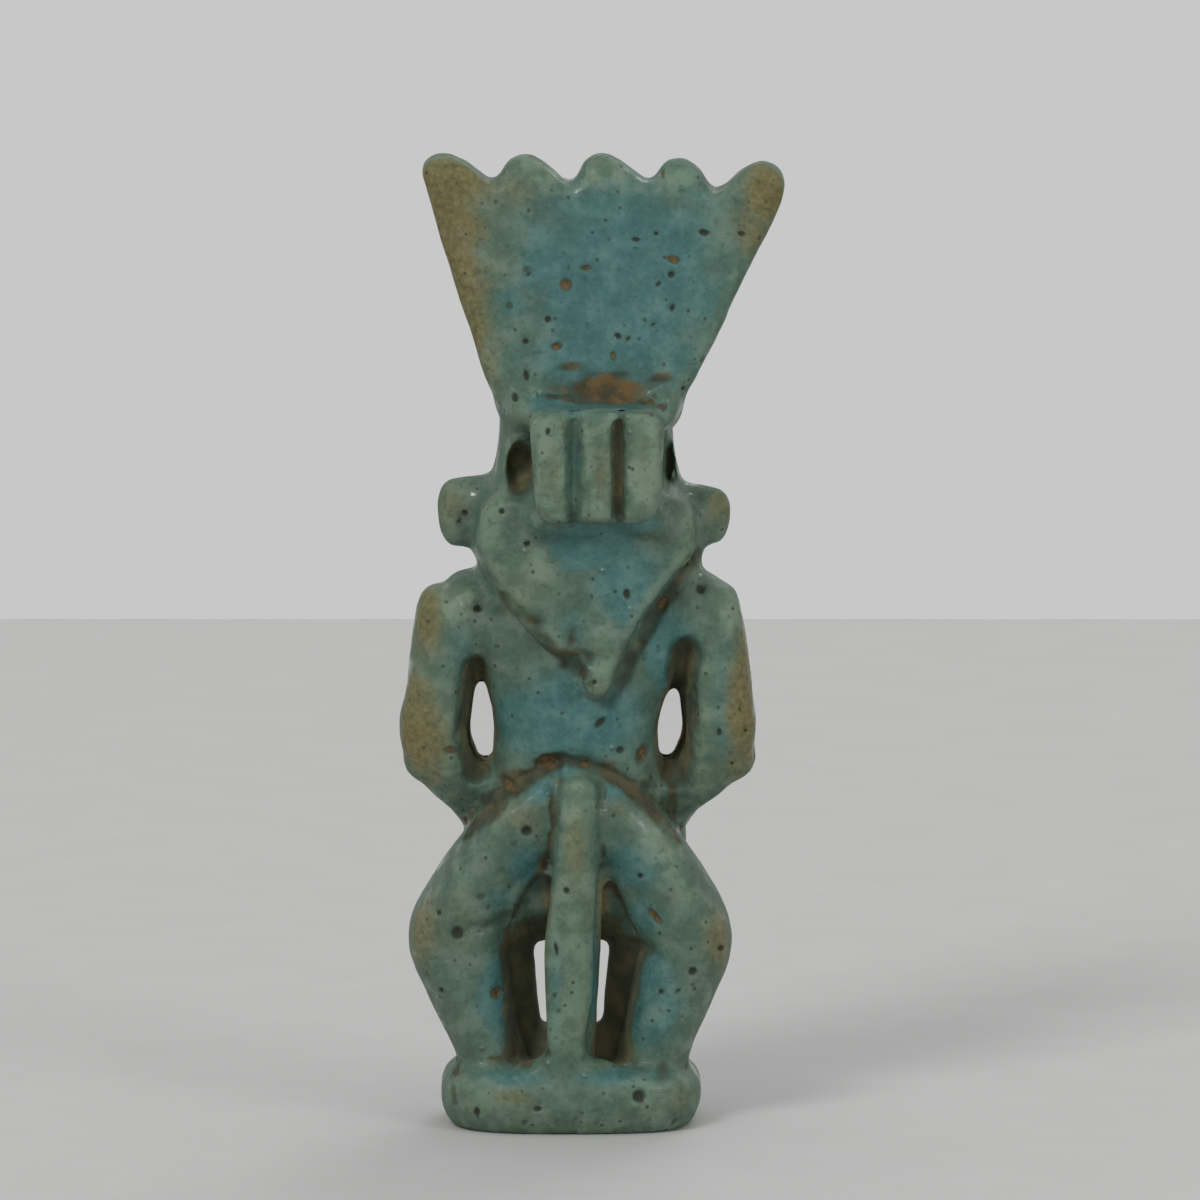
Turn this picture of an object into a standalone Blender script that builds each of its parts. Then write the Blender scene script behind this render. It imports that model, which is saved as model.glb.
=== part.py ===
"""Small moulded amulet of a squat, lion-maned god, standing on its own low plinth in a plumed crown.

The real thing is one piece of glazed ceramic, so the whole figure is one solid. It is modelled the way it
was made: soft lumps of paste are pressed together, the surface is wiped smooth, the hollows and the cord hole
are cut, and the underside is rubbed flat.

Units are metres, +Z is up, the face looks along -Y and the figure's own left hand is at +X. The origin is the
middle of the plinth's underside. The free form is written in parts: PARTS_IN_FIGURE parts make the figure's
height above the plinth, so one part is one millimetre at the real size, and h is a height in parts above the
plinth's top.
"""

import math

import bmesh
import bpy
from mathutils import Vector

MM = 0.001

# Driving sizes
FIGURE_HEIGHT = 37.1 * MM
PLINTH_WIDTH = 10.5 * MM
PLINTH_DEPTH = 8.0 * MM
PLINTH_HEIGHT = 2.5 * MM
PLINTH_SHIFT = -0.3 * MM
PLINTH_LOWER_EDGE = 1.2 * MM
PLINTH_UPPER_EDGE = 1.0 * MM

CORD_HOLE_HEIGHT = 2.2 * MM
CORD_HOLE_DEPTH = 1.6 * MM
LOOP_WIDTH = 5.5 * MM
LOOP_WALL = 1.15 * MM
LOOP_SHOULDER = 1.2 * MM
LOOP_TAPER = 0.3 * MM
LOOP_ROUNDING = 0.45 * MM
LOOP_GROOVE_WIDTH = 0.5 * MM
LOOP_GROOVE_DEPTH = 0.55 * MM

CROWN_THICKNESS = 2.3 * MM
CROWN_RIM = 0.55 * MM
MANE_THICKNESS = 2.2 * MM
MANE_RIM = 0.25 * MM

# How finely the paste is worked
PASTE_GRAIN = 0.15 * MM
WIPES = 4
MOST_TRIANGLES = 8600

# Free form
PARTS_IN_FIGURE = 37.1
PART = FIGURE_HEIGHT / PARTS_IN_FIGURE
HEAD_X = -0.6
CORD_HOLE = (HEAD_X, 2.95, 24.9)
RING_POINTS = 28
CAP_RINGS = 5
SPLINE_STEPS = 6
FAIENCE = (0.105, 0.245, 0.235)


def place(x, y, h):
    """A point given in parts, with h above the plinth's top, as a place in metres."""
    return Vector((x * PART, y * PART, PLINTH_HEIGHT + h * PART))


def spline(rows, closed=False, steps=SPLINE_STEPS):
    """Catmull-Rom curve through rows of numbers: a new row is a cubic blend of the four rows around it."""
    count = len(rows)
    made = []
    for i in range(count if closed else count - 1):
        if closed:
            near = [rows[(i + k) % count] for k in (-1, 0, 1, 2)]
        else:
            near = [rows[min(max(i + k, 0), count - 1)] for k in (-1, 0, 1, 2)]
        for step in range(steps):
            t = step / steps
            weights = (
                -0.5 * t + t**2 - 0.5 * t**3,
                1 - 2.5 * t**2 + 1.5 * t**3,
                0.5 * t + 2 * t**2 - 1.5 * t**3,
                -0.5 * t**2 + 0.5 * t**3,
            )
            made.append([sum(w * row[k] for w, row in zip(weights, near)) for k in range(len(rows[0]))])
    if not closed:
        made.append(list(rows[-1]))
    return made


def skin(paste, rings, start, end):
    """Quads between neighbouring rings of points, closed by a fan at each end."""
    made = [[paste.verts.new(p) for p in ring] for ring in rings]
    for low, high in zip(made, made[1:]):
        for i, corner in enumerate(low):
            j = (i + 1) % len(low)
            paste.faces.new((corner, low[j], high[j], high[i]))
    for ring, tip in ((made[0], paste.verts.new(start)), (made[-1], paste.verts.new(end))):
        for i, corner in enumerate(ring):
            paste.faces.new((tip, corner, ring[(i + 1) % len(ring)]))


def superellipse(angle, square):
    """A unit circle at square 2, and closer to a square as square grows."""
    c, s = math.cos(angle), math.sin(angle)
    power = 2 / square
    return math.copysign(abs(c) ** power, c), math.copysign(abs(s) ** power, s)


def roll(paste, rows, square=2.2, cap=0.9, depth_axis=(0, 1, 0)):
    """A rolled limb of paste along a smooth path. Each row is x, y, h, half width and half depth in parts.

    The half depth is measured along depth_axis, and the half width across it. Both ends are domes.
    """
    path = spline(rows)
    centres = [place(*row[:3]) for row in path]
    last = len(path) - 1
    rings = []
    tips = []
    for i, row in enumerate(path):
        along = (centres[min(i + 1, last)] - centres[max(i - 1, 0)]).normalized()
        depth = Vector(depth_axis)
        depth = (depth - depth.dot(along) * along).normalized()
        width = depth.cross(along)
        reach = cap * min(row[3], row[4]) * PART
        outward = {0: -along, last: along}.get(i)
        levels = [(0.0, 1.0)]
        if outward:
            turns = [math.pi / 2 * k / CAP_RINGS for k in range(CAP_RINGS)]
            levels = [(superellipse(a, square)[1], superellipse(a, square)[0]) for a in turns]
            tips.append(centres[i] + outward * reach)
        made = []
        for shift, size in levels:
            centre = centres[i] + (outward or along) * reach * shift
            ring = []
            for k in range(RING_POINTS):
                across, deep = superellipse(2 * math.pi * k / RING_POINTS, square)
                ring.append(centre + (width * across * row[3] + depth * deep * row[4]) * size * PART)
            made.append(ring)
        rings += made[::-1] if i == 0 else made
    skin(paste, rings, *tips)


def pat(paste, centre, radii):
    """An ellipsoid of paste, centre and radii in parts."""
    made = bmesh.ops.create_uvsphere(paste, u_segments=24, v_segments=16, radius=1)
    for vert in made["verts"]:
        vert.co = place(*centre) + Vector(v * r * PART for v, r in zip(vert.co, radii))


def slab(paste, outline, back, thickness, rim, lean=0.0):
    """A flat slab with a rounded rim, its outline in parts as (x, h) and its other sizes in metres.

    back is its rear face's y at h 0, and lean is how far the slab comes forward for each unit of height.
    """
    points = [Vector((x * PART, h * PART)) for x, h in spline(outline, closed=True, steps=4)]
    count = len(points)
    inward = []
    for i in range(count):
        along = (points[(i + 1) % count] - points[i - 1]).normalized()
        inward.append(Vector((-along.y, along.x)))
    area = sum(a.cross(b) for a, b in zip(points, points[1:] + points[:1]))
    side = math.copysign(1, area)
    turns = [math.pi / 2 * k / 3 for k in range(4)]
    levels = [(rim * (1 - math.sin(a)), rim * (1 - math.cos(a))) for a in turns]
    levels += [(inset, thickness - deep) for inset, deep in reversed(levels)]
    rings = []
    for inset, deep in levels:
        ring = []
        for point, normal in zip(points, inward):
            p = point + normal * side * inset
            y = back - deep - lean * p.y
            ring.append(paste.verts.new((p.x, y, PLINTH_HEIGHT + p.y)))
        rings.append(ring)
    for low, high in zip(rings, rings[1:]):
        for i in range(count):
            j = (i + 1) % count
            paste.faces.new((low[i], low[j], high[j], high[i]))
    paste.faces.new(rings[0])
    paste.faces.new(rings[-1])


def both_sides(rows):
    """The rows as given, for the figure's left, and mirrored about the head's middle, for its right."""
    return rows, [(2 * HEAD_X - row[0], *row[1:]) for row in rows]


def add_plinth(paste):
    """The low plinth: a slab with rounded corners, whose lower edge is worn rounder than its upper one."""
    below = -0.25 * PLINTH_LOWER_EDGE
    rings = []
    levels = []
    for k in range(7):
        turn = math.pi / 2 * (0.12 + 0.88 * k / 6)
        level = below + (PLINTH_LOWER_EDGE - below) * (1 - math.cos(turn))
        levels.append((level, PLINTH_LOWER_EDGE * (1 - math.sin(turn))))
    for k in range(5):
        turn = math.pi / 2 * k / 4
        level = PLINTH_HEIGHT - PLINTH_UPPER_EDGE * (1 - math.sin(turn))
        levels.append((level, PLINTH_UPPER_EDGE * (1 - math.cos(turn))))
    for level, inset in levels:
        ring = []
        for k in range(2 * RING_POINTS):
            across, deep = superellipse(math.pi * k / RING_POINTS, 3.0)
            x = across * (PLINTH_WIDTH / 2 - inset)
            y = PLINTH_SHIFT + deep * (PLINTH_DEPTH / 2 - inset)
            ring.append(Vector((x, y, level)))
        rings.append(ring)
    low, high = (Vector((0, PLINTH_SHIFT, rings[i][0].z)) for i in (0, -1))
    skin(paste, rings, low, high)


def add_legs(paste):
    """Bowed legs with bent knees. The two sides differ a little, as they do on the moulded piece."""
    left = [
        (0.5, 0.6, 10.7, 1.9, 1.7),
        (1.8, 0.5, 9.85, 1.85, 1.9),
        (2.9, 0.2, 8.5, 1.68, 2.1),
        (3.9, -0.1, 6.9, 1.78, 2.3),
        (4.52, -0.3, 5.1, 2.05, 2.5),
        (4.18, -0.1, 3.4, 1.78, 2.25),
        (3.65, 0.1, 1.6, 1.45, 2.0),
        (3.3, 0.2, 0.2, 1.25, 1.8),
        (3.2, 0.2, -0.9, 1.3, 1.7),
    ]
    right = [
        (-0.9, 0.6, 10.6, 1.85, 1.7),
        (-2.0, 0.5, 9.7, 1.7, 1.9),
        (-3.0, 0.2, 8.5, 1.6, 2.1),
        (-3.92, -0.1, 6.8, 1.78, 2.3),
        (-4.6, -0.3, 5.0, 1.9, 2.5),
        (-4.2, -0.1, 3.3, 1.75, 2.25),
        (-3.65, 0.1, 1.5, 1.5, 2.0),
        (-3.4, 0.2, 0.2, 1.35, 1.8),
        (-3.3, 0.2, -0.9, 1.3, 1.7),
    ]
    left_shin = [(3.6, -1.4, 5.2, 2.0, 1.7), (3.1, -1.6, 2.4, 1.75, 1.4), (2.8, -1.6, 0.3, 1.65, 1.3)]
    right_shin = [(-3.6, -1.4, 5.0, 1.98, 1.7), (-3.1, -1.6, 2.2, 1.75, 1.4), (-2.85, -1.6, 0.3, 1.65, 1.3)]
    for rows in (left, right, left_shin, right_shin):
        roll(paste, rows, square=2.4)


def add_feet(paste):
    """Broad feet that point forwards, with four toes each."""
    toes = 4
    for side in (1, -1):
        middle = 3.1 * side
        rows = [(middle, 0.2, 0.4, 1.3, 0.9), (middle, -1.8, 0.3, 1.3, 0.75), (middle, -3.0, 0.1, 1.25, 0.6)]
        roll(paste, rows, depth_axis=(0, 0, 1))
        for toe in range(toes):
            across = middle + (toe - (toes - 1) / 2) * 0.62
            pat(paste, (across, -3.55, 0.12), (0.33, 0.5, 0.42))


def add_tail(paste):
    """The lion's tail: a squared bar that hangs from the waist down to the plinth, free of both legs."""
    rows = [
        (-0.33, 2.0, 11.2, 0.8, 0.75),
        (-0.28, 2.3, 10.2, 0.88, 0.95),
        (-0.12, 2.45, 7.5, 0.93, 0.95),
        (0.05, 2.4, 5.3, 1.0, 0.95),
        (0.08, 2.4, 3.3, 0.97, 0.95),
        (0.18, 2.5, 1.5, 0.8, 0.9),
        (0.18, 2.6, 0.2, 0.85, 0.85),
        (0.18, 2.6, -1.0, 0.9, 0.8),
    ]
    roll(paste, rows, square=3.2)
    roll(paste, [(-0.3, 0.9, 8.0, 1.0, 1.2), (-0.15, 0.9, 4.5, 1.05, 1.2), (0.05, 0.9, -0.5, 0.95, 1.2)])
    pat(paste, (0.16, 2.3, -0.1), (2.3, 1.1, 0.7))
    pat(paste, (0.0, -1.8, 0.3), (2.8, 1.6, 0.95))


def add_torso(paste):
    """The trunk, with a heavy belly, a full chest and a short apron between the thighs."""
    rows = [
        (-0.1, 0.0, 8.4, 1.7, 1.4),
        (-0.1, 0.0, 9.4, 2.9, 1.8),
        (-0.15, -0.3, 10.5, 3.3, 2.1),
        (-0.2, -0.6, 12.4, 3.35, 2.5),
        (-0.2, -0.5, 14.0, 3.35, 2.45),
        (-0.25, -0.4, 15.6, 3.85, 2.4),
        (-0.4, -0.2, 17.0, 4.6, 2.3),
        (-0.45, -0.1, 18.3, 5.0, 2.15),
        (-0.5, 0.0, 19.4, 4.7, 1.9),
    ]
    roll(paste, rows, square=2.7, cap=0.45)
    pat(paste, (-0.2, -1.7, 12.0), (3.05, 2.3, 2.9))
    for side in (1, -1):
        pat(paste, (-0.3 + 1.9 * side, -2.0, 16.7), (1.8, 1.0, 1.3))
        pat(paste, (-0.5 + 4.5 * side, 0.0, 18.9), (1.3, 1.6, 1.2))
        pat(paste, (-0.2 + 3.75 * side, -0.6, 11.35), (1.0, 1.3, 0.95))
    apron = [(-0.1, -1.9, 9.2, 2.8, 0.9), (-0.1, -2.0, 7.2, 2.6, 0.85), (-0.15, -2.0, 5.0, 2.2, 0.75)]
    roll(paste, apron, square=3.4, cap=0.5)
    roll(paste, [(3.1, -1.9, 9.7, 0.45, 0.5), (-0.2, -3.7, 9.5, 0.5, 0.5), (-3.5, -1.9, 9.7, 0.45, 0.5)])


def add_arms(paste):
    """Arms held away from the body, elbows out, with the hands resting on the thighs."""
    left = [
        (4.85, 0.0, 18.3, 1.38, 1.7),
        (5.05, 0.0, 17.0, 1.38, 1.75),
        (5.25, 0.0, 15.2, 1.38, 1.7),
        (5.5, 0.0, 13.4, 1.44, 1.7),
        (4.9, -0.4, 12.0, 1.25, 1.6),
        (4.1, -1.2, 10.9, 1.05, 1.4),
        (3.3, -2.1, 9.6, 1.0, 1.1),
    ]
    right = [
        (-5.42, 0.0, 18.4, 1.42, 1.7),
        (-5.65, 0.0, 17.0, 1.45, 1.75),
        (-5.85, 0.0, 15.0, 1.48, 1.7),
        (-5.95, 0.0, 13.4, 1.48, 1.7),
        (-5.3, -0.4, 12.0, 1.3, 1.6),
        (-4.4, -1.2, 10.9, 1.05, 1.4),
        (-3.65, -2.1, 9.6, 1.0, 1.1),
    ]
    pat(paste, (5.6, 0.0, 12.4), (1.22, 1.5, 1.1))
    pat(paste, (-6.2, 0.0, 12.5), (1.26, 1.5, 1.15))
    fingers = 4
    for rows in (left, right):
        roll(paste, rows, square=2.8, cap=0.8)
        palm = rows[-1]
        for finger in range(fingers):
            across = palm[0] + (finger - (fingers - 1) / 2) * 0.5
            roll(paste, [(across, -2.8, 9.2, 0.26, 0.4), (across, -2.95, 7.7, 0.26, 0.34)])


def add_head(paste):
    """The head's mass up to the foot of the crown, with the two round lion's ears."""
    rows = [
        (-0.65, 0.2, 19.5, 4.1, 1.9),
        (-0.7, 0.3, 20.5, 4.6, 2.4),
        (-0.7, 0.2, 21.6, 4.5, 2.75),
        (-0.62, 0.1, 23.0, 4.0, 2.95),
        (-0.6, 0.0, 24.3, 3.68, 3.0),
        (-0.62, 0.1, 25.6, 3.5, 2.9),
        (-0.65, 0.35, 26.6, 3.52, 2.5),
        (-0.75, 0.8, 27.8, 3.8, 1.8),
    ]
    roll(paste, rows, square=2.8, cap=0.4)
    roll(paste, [(2.8, 0.2, 22.5, 1.5, 1.0), (4.55, 0.2, 22.4, 1.4, 0.9)], square=2.5)
    roll(paste, [(-4.0, 0.2, 22.4, 1.35, 1.0), (-5.6, 0.2, 22.25, 1.18, 0.9)], square=2.5)


def add_face(paste):
    """A plain leonine mask: heavy brows, round eyes, a broad nose, full muzzle and cheeks."""
    pat(paste, (HEAD_X, -1.5, 23.7), (3.4, 2.4, 3.0))
    brow = [(HEAD_X, -3.85, 25.2, 0.42, 0.5), (1.0, -3.85, 25.75, 0.42, 0.5), (2.4, -2.9, 25.1, 0.4, 0.5)]
    for rows in both_sides(brow):
        roll(paste, rows)
    nose = [
        (HEAD_X, -3.7, 25.3, 0.42, 0.5),
        (HEAD_X, -4.2, 24.2, 0.55, 0.6),
        (HEAD_X, -4.45, 23.5, 0.85, 0.65),
    ]
    roll(paste, nose)
    for side in (1, -1):
        pat(paste, (HEAD_X + 1.38 * side, -3.55, 24.55), (0.8, 0.5, 0.52))
        pat(paste, (HEAD_X + 0.8 * side, -4.2, 23.35), (0.5, 0.55, 0.42))
        pat(paste, (HEAD_X + 0.95 * side, -3.85, 22.45), (1.15, 0.75, 0.62))
        pat(paste, (HEAD_X + 2.3 * side, -2.9, 23.2), (1.0, 1.0, 1.1))
    pat(paste, (HEAD_X, -3.65, 21.45), (1.25, 0.65, 0.45))


def add_beard(paste):
    """Locks of the mane that fan out below the face, from ear to ear."""
    locks = 11
    spread = math.radians(78)
    for lock in range(locks):
        turn = spread * (2 * lock / (locks - 1) - 1)
        across, down = math.sin(turn), math.cos(turn)
        rows = [
            (HEAD_X + 2.4 * across, -2.9, 23.2 - 2.0 * down, 0.5, 0.6),
            (HEAD_X + 3.5 * across, -2.75, 23.2 - 3.4 * down, 0.55, 0.6),
            (HEAD_X + 4.5 * across, -2.1, 23.0 - 4.7 * down, 0.42, 0.5),
        ]
        roll(paste, rows)


def add_mane(paste):
    """The mane down the back: a raised shield that ends in a point, with a small drop at its tip."""
    outline = [
        (3.85, 21.5),
        (3.4, 20.75),
        (2.62, 19.1),
        (1.89, 18.15),
        (1.17, 17.35),
        (0.4, 16.8),
        (0.05, 16.95),
        (-0.2, 17.2),
        (-0.42, 16.8),
        (-0.42, 16.1),
        (-0.6, 15.5),
        (-1.1, 15.25),
        (-1.5, 15.4),
        (-1.85, 16.3),
        (-2.26, 17.28),
        (-2.82, 18.4),
        (-3.46, 19.35),
        (-4.2, 20.3),
        (-4.85, 20.95),
        (-4.95, 21.9),
        (-4.2, 23.4),
        (2.9, 23.4),
        (3.65, 22.4),
    ]
    slab(paste, outline, 2.15 * PART, MANE_THICKNESS, MANE_RIM, lean=-0.042)


def add_crown(paste):
    """Five plumes: at the back one smooth slab with a scalloped top, and in front a swelling for each."""
    outline = [
        (1.0, 24.8),
        (2.1, 26.4),
        (3.2, 27.6),
        (4.49, 31.4),
        (5.8, 35.7),
        (5.93, 36.6),
        (5.2, 37.03),
        (4.2, 36.72),
        (3.12, 35.95),
        (2.5, 36.75),
        (1.7, 37.0),
        (0.95, 36.6),
        (0.0, 35.87),
        (-0.58, 36.75),
        (-1.3, 37.08),
        (-2.1, 36.68),
        (-3.2, 35.93),
        (-3.78, 36.68),
        (-4.5, 36.83),
        (-5.2, 36.4),
        (-5.78, 35.62),
        (-6.9, 36.4),
        (-7.7, 36.74),
        (-8.45, 36.3),
        (-8.45, 35.2),
        (-7.24, 32.76),
        (-5.8, 29.72),
        (-4.55, 27.3),
        (-3.4, 26.0),
        (-2.4, 24.8),
    ]
    back, lean = 4.6 * PART, 0.072
    slab(paste, outline, back, CROWN_THICKNESS, CROWN_RIM, lean)
    feet = (1.95, 0.68, -0.62, -1.92, -3.2)
    tips = (4.75, 1.6, -1.5, -4.45, -7.5)
    tops = (35.9, 35.9, 36.0, 35.75, 35.6)
    for foot, tip, top in zip(feet, tips, tops):
        rows = []
        for share, half_width in ((0.0, 0.7), (0.5, 0.95), (1.0, 1.02)):
            h = 27.4 + (top - 27.4) * share
            y = (back - CROWN_THICKNESS) / PART - lean * h + 0.35
            rows.append((foot + (tip - foot) * share, y, h, half_width, 0.8))
        roll(paste, rows, cap=0.85)
    pat(paste, (-0.65, -0.5, 27.5), (3.6, 2.5, 0.95))


def loop_place():
    """Middle of the cord hole, and the loop's lowest, highest, left, right and rear limits, in metres."""
    hole = place(*CORD_HOLE)
    half = CORD_HOLE_HEIGHT / 2 + LOOP_SHOULDER
    middle = place(-1.07, 0, 0).x
    rear = hole.y + CORD_HOLE_DEPTH / 2 + LOOP_WALL
    return hole, hole.z - half, hole.z + half, middle + LOOP_WIDTH / 2, middle - LOOP_WIDTH / 2, rear


def box(mesh, low, high):
    """An upright box between two corners. Returns its corners as new vertices."""
    made = bmesh.ops.create_cube(mesh, size=1)["verts"]
    for vert in made:
        vert.co = Vector(a + (b - a) * (v + 0.5) for a, b, v in zip(low, high, vert.co))
    return made


def add_loop(paste):
    """The block behind the head that the cord runs through, on a pad that spreads onto the head."""
    hole, low, high, left, right, rear = loop_place()
    verts = box(paste, (right, hole.y - CORD_HOLE_DEPTH, low), (left, rear, high))
    for vert in verts:
        if vert.co.z < hole.z:
            vert.co.x -= math.copysign(LOOP_TAPER, vert.co.x - (left + right) / 2)
    edges = list({edge for vert in verts for edge in vert.link_edges})
    bmesh.ops.bevel(paste, geom=edges, offset=LOOP_ROUNDING, segments=3, profile=0.5, affect="EDGES")
    pat(paste, (-0.85, 2.2, CORD_HOLE[2]), (3.45, 1.6, 2.35))


def add_hole_cutter(cutter):
    """The cord hole: an oval bore from side to side, behind the head."""
    hole = loop_place()[0]
    made = bmesh.ops.create_cone(cutter, cap_ends=True, segments=32, radius1=0.5, radius2=0.5, depth=1)
    for vert in made["verts"]:
        x, y, z = vert.co
        offset = (z * 12 * PART, y * CORD_HOLE_DEPTH, x * CORD_HOLE_HEIGHT)
        vert.co = hole + Vector(offset)


def add_groove_cutters(cutter):
    """Two upright grooves that part the loop into three ribs."""
    hole, low, high, left, right, rear = loop_place()
    for share in (0.327, 0.644):
        middle = left + (right - left) * share
        near = rear - LOOP_GROOVE_DEPTH
        half = LOOP_GROOVE_WIDTH / 2
        box(cutter, (middle - half, near, low - MM), (middle + half, rear + MM, high - 0.3 * MM))


def add_front_cutters(cutter):
    """The hollows of the ears and the navel, pressed in from the front."""
    for centre in ((4.35, -1.2, 22.35), (-5.4, -1.2, 22.25)):
        pat(cutter, centre, (0.85, 0.8, 0.9))
    pat(cutter, (-0.2, -4.9, 12.2), (0.35, 0.7, 0.35))


def mesh_object(name, add_shapes):
    """An object whose mesh is built by the given functions, each adding its shape to the same bmesh."""
    shapes = bmesh.new()
    for add in add_shapes:
        add(shapes)
    shapes.normal_update()
    bmesh.ops.recalc_face_normals(shapes, faces=shapes.faces)
    mesh = bpy.data.meshes.new(name)
    shapes.to_mesh(mesh)
    shapes.free()
    obj = bpy.data.objects.new(name, mesh)
    bpy.context.scene.collection.objects.link(obj)
    return obj


def cutter_object(name, add_shapes):
    """A helper that only cuts, and isn't part of the piece."""
    obj = mesh_object(name, add_shapes)
    obj.hide_render = True
    obj.display_type = "WIRE"
    return obj


def add_ground(cutter):
    """Everything below the level of the underside."""
    reach = PLINTH_WIDTH + PLINTH_DEPTH
    box(cutter, (-reach, -reach, -reach), (reach, reach, 0))


def remesh(obj, name):
    """Fuse everything that touches into one closed skin."""
    modifier = obj.modifiers.new(name, "REMESH")
    modifier.mode = "VOXEL"
    modifier.voxel_size = PASTE_GRAIN
    modifier.use_smooth_shade = True


def cut(obj, name, cutter):
    """Take the cutter's shape away from the object."""
    modifier = obj.modifiers.new(name, "BOOLEAN")
    modifier.operation = "DIFFERENCE"
    modifier.object = cutter


def triangle_count(obj):
    """How many triangles the object has with the modifiers that it has so far."""
    bpy.context.view_layer.update()
    shown = obj.evaluated_get(bpy.context.evaluated_depsgraph_get())
    mesh = shown.to_mesh()
    mesh.calc_loop_triangles()
    count = len(mesh.loop_triangles)
    shown.to_mesh_clear()
    return count


def faience():
    """Blue-green glazed ceramic."""
    material = bpy.data.materials.new("faience")
    material.use_nodes = True
    shader = material.node_tree.nodes["Principled BSDF"]
    shader.inputs["Base Color"].default_value = (*FAIENCE, 1)
    shader.inputs["Roughness"].default_value = 0.42
    shader.inputs["Metallic"].default_value = 0.0
    return material


def main():
    for obj in list(bpy.data.objects):
        bpy.data.objects.remove(obj)
    shapes = (
        add_plinth,
        add_legs,
        add_feet,
        add_tail,
        add_torso,
        add_arms,
        add_head,
        add_face,
        add_beard,
        add_mane,
        add_crown,
        add_loop,
    )
    figure = mesh_object("amulet_figure", shapes)
    figure.data.materials.append(faience())
    remesh(figure, "press together")
    smooth = figure.modifiers.new("wipe smooth", "SMOOTH")
    smooth.factor = 0.5
    smooth.iterations = WIPES
    coarse = figure.modifiers.new("coarser mesh", "DECIMATE")
    coarse.ratio = min(1.0, MOST_TRIANGLES / triangle_count(figure))
    cut(figure, "hollows", cutter_object("hollows", (add_front_cutters, add_groove_cutters)))
    cut(figure, "cord hole", cutter_object("cord_hole", (add_hole_cutter,)))
    cut(figure, "flat underside", cutter_object("ground", (add_ground,)))


main()
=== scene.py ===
# %% [markdown]
# # A small moulded amulet figure in glazed paste
#
# The real object is not quite 40 mm tall. A paste of crushed quartz was pressed into a mould, a loop
# for the cord was set behind the head, and the glaze came to the surface as the paste dried and was
# fired. This lesson takes the plain solid that the workshop already measured and gives it that
# skin: soft edges, pits, dirt in the hollows and a worn blue-green glaze. Shapes are in millimetres
# until they are put into a mesh. X runs to the figure's own left, +Y is its back, and Z is up.

# %% Load the frame
import math

import bmesh
import bpy
import numpy as np
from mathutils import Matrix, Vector


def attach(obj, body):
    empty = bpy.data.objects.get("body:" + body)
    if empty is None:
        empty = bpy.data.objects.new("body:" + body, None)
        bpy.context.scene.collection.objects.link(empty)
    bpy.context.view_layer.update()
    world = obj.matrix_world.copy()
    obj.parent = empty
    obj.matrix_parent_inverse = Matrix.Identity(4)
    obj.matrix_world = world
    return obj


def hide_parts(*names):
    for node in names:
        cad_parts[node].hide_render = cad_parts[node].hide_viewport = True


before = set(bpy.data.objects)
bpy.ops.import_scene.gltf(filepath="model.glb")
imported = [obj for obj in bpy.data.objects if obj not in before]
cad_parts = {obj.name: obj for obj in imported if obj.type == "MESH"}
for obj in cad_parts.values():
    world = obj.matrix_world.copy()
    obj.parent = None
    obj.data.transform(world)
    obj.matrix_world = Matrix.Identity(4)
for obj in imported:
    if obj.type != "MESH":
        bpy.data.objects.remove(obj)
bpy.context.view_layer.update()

MM = 0.001
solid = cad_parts["amulet_figure"]

# %% [markdown]
# ## Camera
# Small finds are photographed from about a metre with a long lens, so that near and far parts keep
# their sizes. The camera stands behind the figure, 9 degrees above the table. A long lens could be
# faked with an orthographic camera, but a real one keeps the slight narrowing of what is further off.

# %% Camera
DISTANCE = 1.0
LENS = 745.0
SENSOR = 36.0
RISE = math.radians(9.0)
AIM = Vector((-1.17, 0.0, 21.3)) * MM

backwards = Vector((0.0, math.cos(RISE), math.sin(RISE)))
lens = bpy.data.cameras.new("long_lens")
lens.lens = LENS
lens.sensor_width = SENSOR
lens.clip_start, lens.clip_end = 0.05, 20.0
camera = bpy.data.objects.new("camera", lens)
camera.location = AIM + backwards * DISTANCE
camera.rotation_euler = (-backwards).to_track_quat("-Z", "Y").to_euler()
bpy.context.scene.collection.objects.link(camera)
bpy.context.scene.camera = camera
print("the picture spans", round(DISTANCE * SENSOR / LENS / MM, 1), "mm at the figure")

# %% [markdown]
# ## Table
# The figure stands on a small pale table whose edges roll off, so that every side of the figure is
# seen against the same even grey. A wall would look the same from here, but it would stand in the
# way of a camera on the other side. The table is a square with rounded corners, worked out as rings:
# each ring is the same outline at another size, and the last rings turn down over the edge.

# %% Table
TABLE_HALF, TABLE_ROLL, TABLE_CORNER = 142.0 * MM, 14.0 * MM, 60.0 * MM


def rounded_square(half, corner, steps):
    """A square of half-width half whose corners are arcs of radius corner, as points round it."""
    turn = np.linspace(0.0, 2.0 * math.pi, steps, endpoint=False) + 1e-6
    reach = half - corner
    centres = np.stack((np.sign(np.cos(turn)), np.sign(np.sin(turn))), 1) * reach
    arc = np.stack((np.cos(turn), np.sin(turn)), 1) * corner
    return centres + arc


def ring_surface(name, rings):
    """Quads between rings of equal point counts, closed at the first ring by one many-sided face."""
    count = rings.shape[1]
    near = np.arange(count)
    after = (near + 1) % count
    faces = [tuple(near)]
    for row in range(len(rings) - 1):
        a, b = row * count, (row + 1) * count
        faces += np.stack((a + near, b + near, b + after, a + after), 1).tolist()
    mesh = bpy.data.meshes.new(name)
    mesh.from_pydata(rings.reshape(-1, 3).tolist(), [], faces)
    mesh.shade_smooth()
    made = bpy.data.objects.new(name, mesh)
    bpy.context.scene.collection.objects.link(made)
    return made


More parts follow.
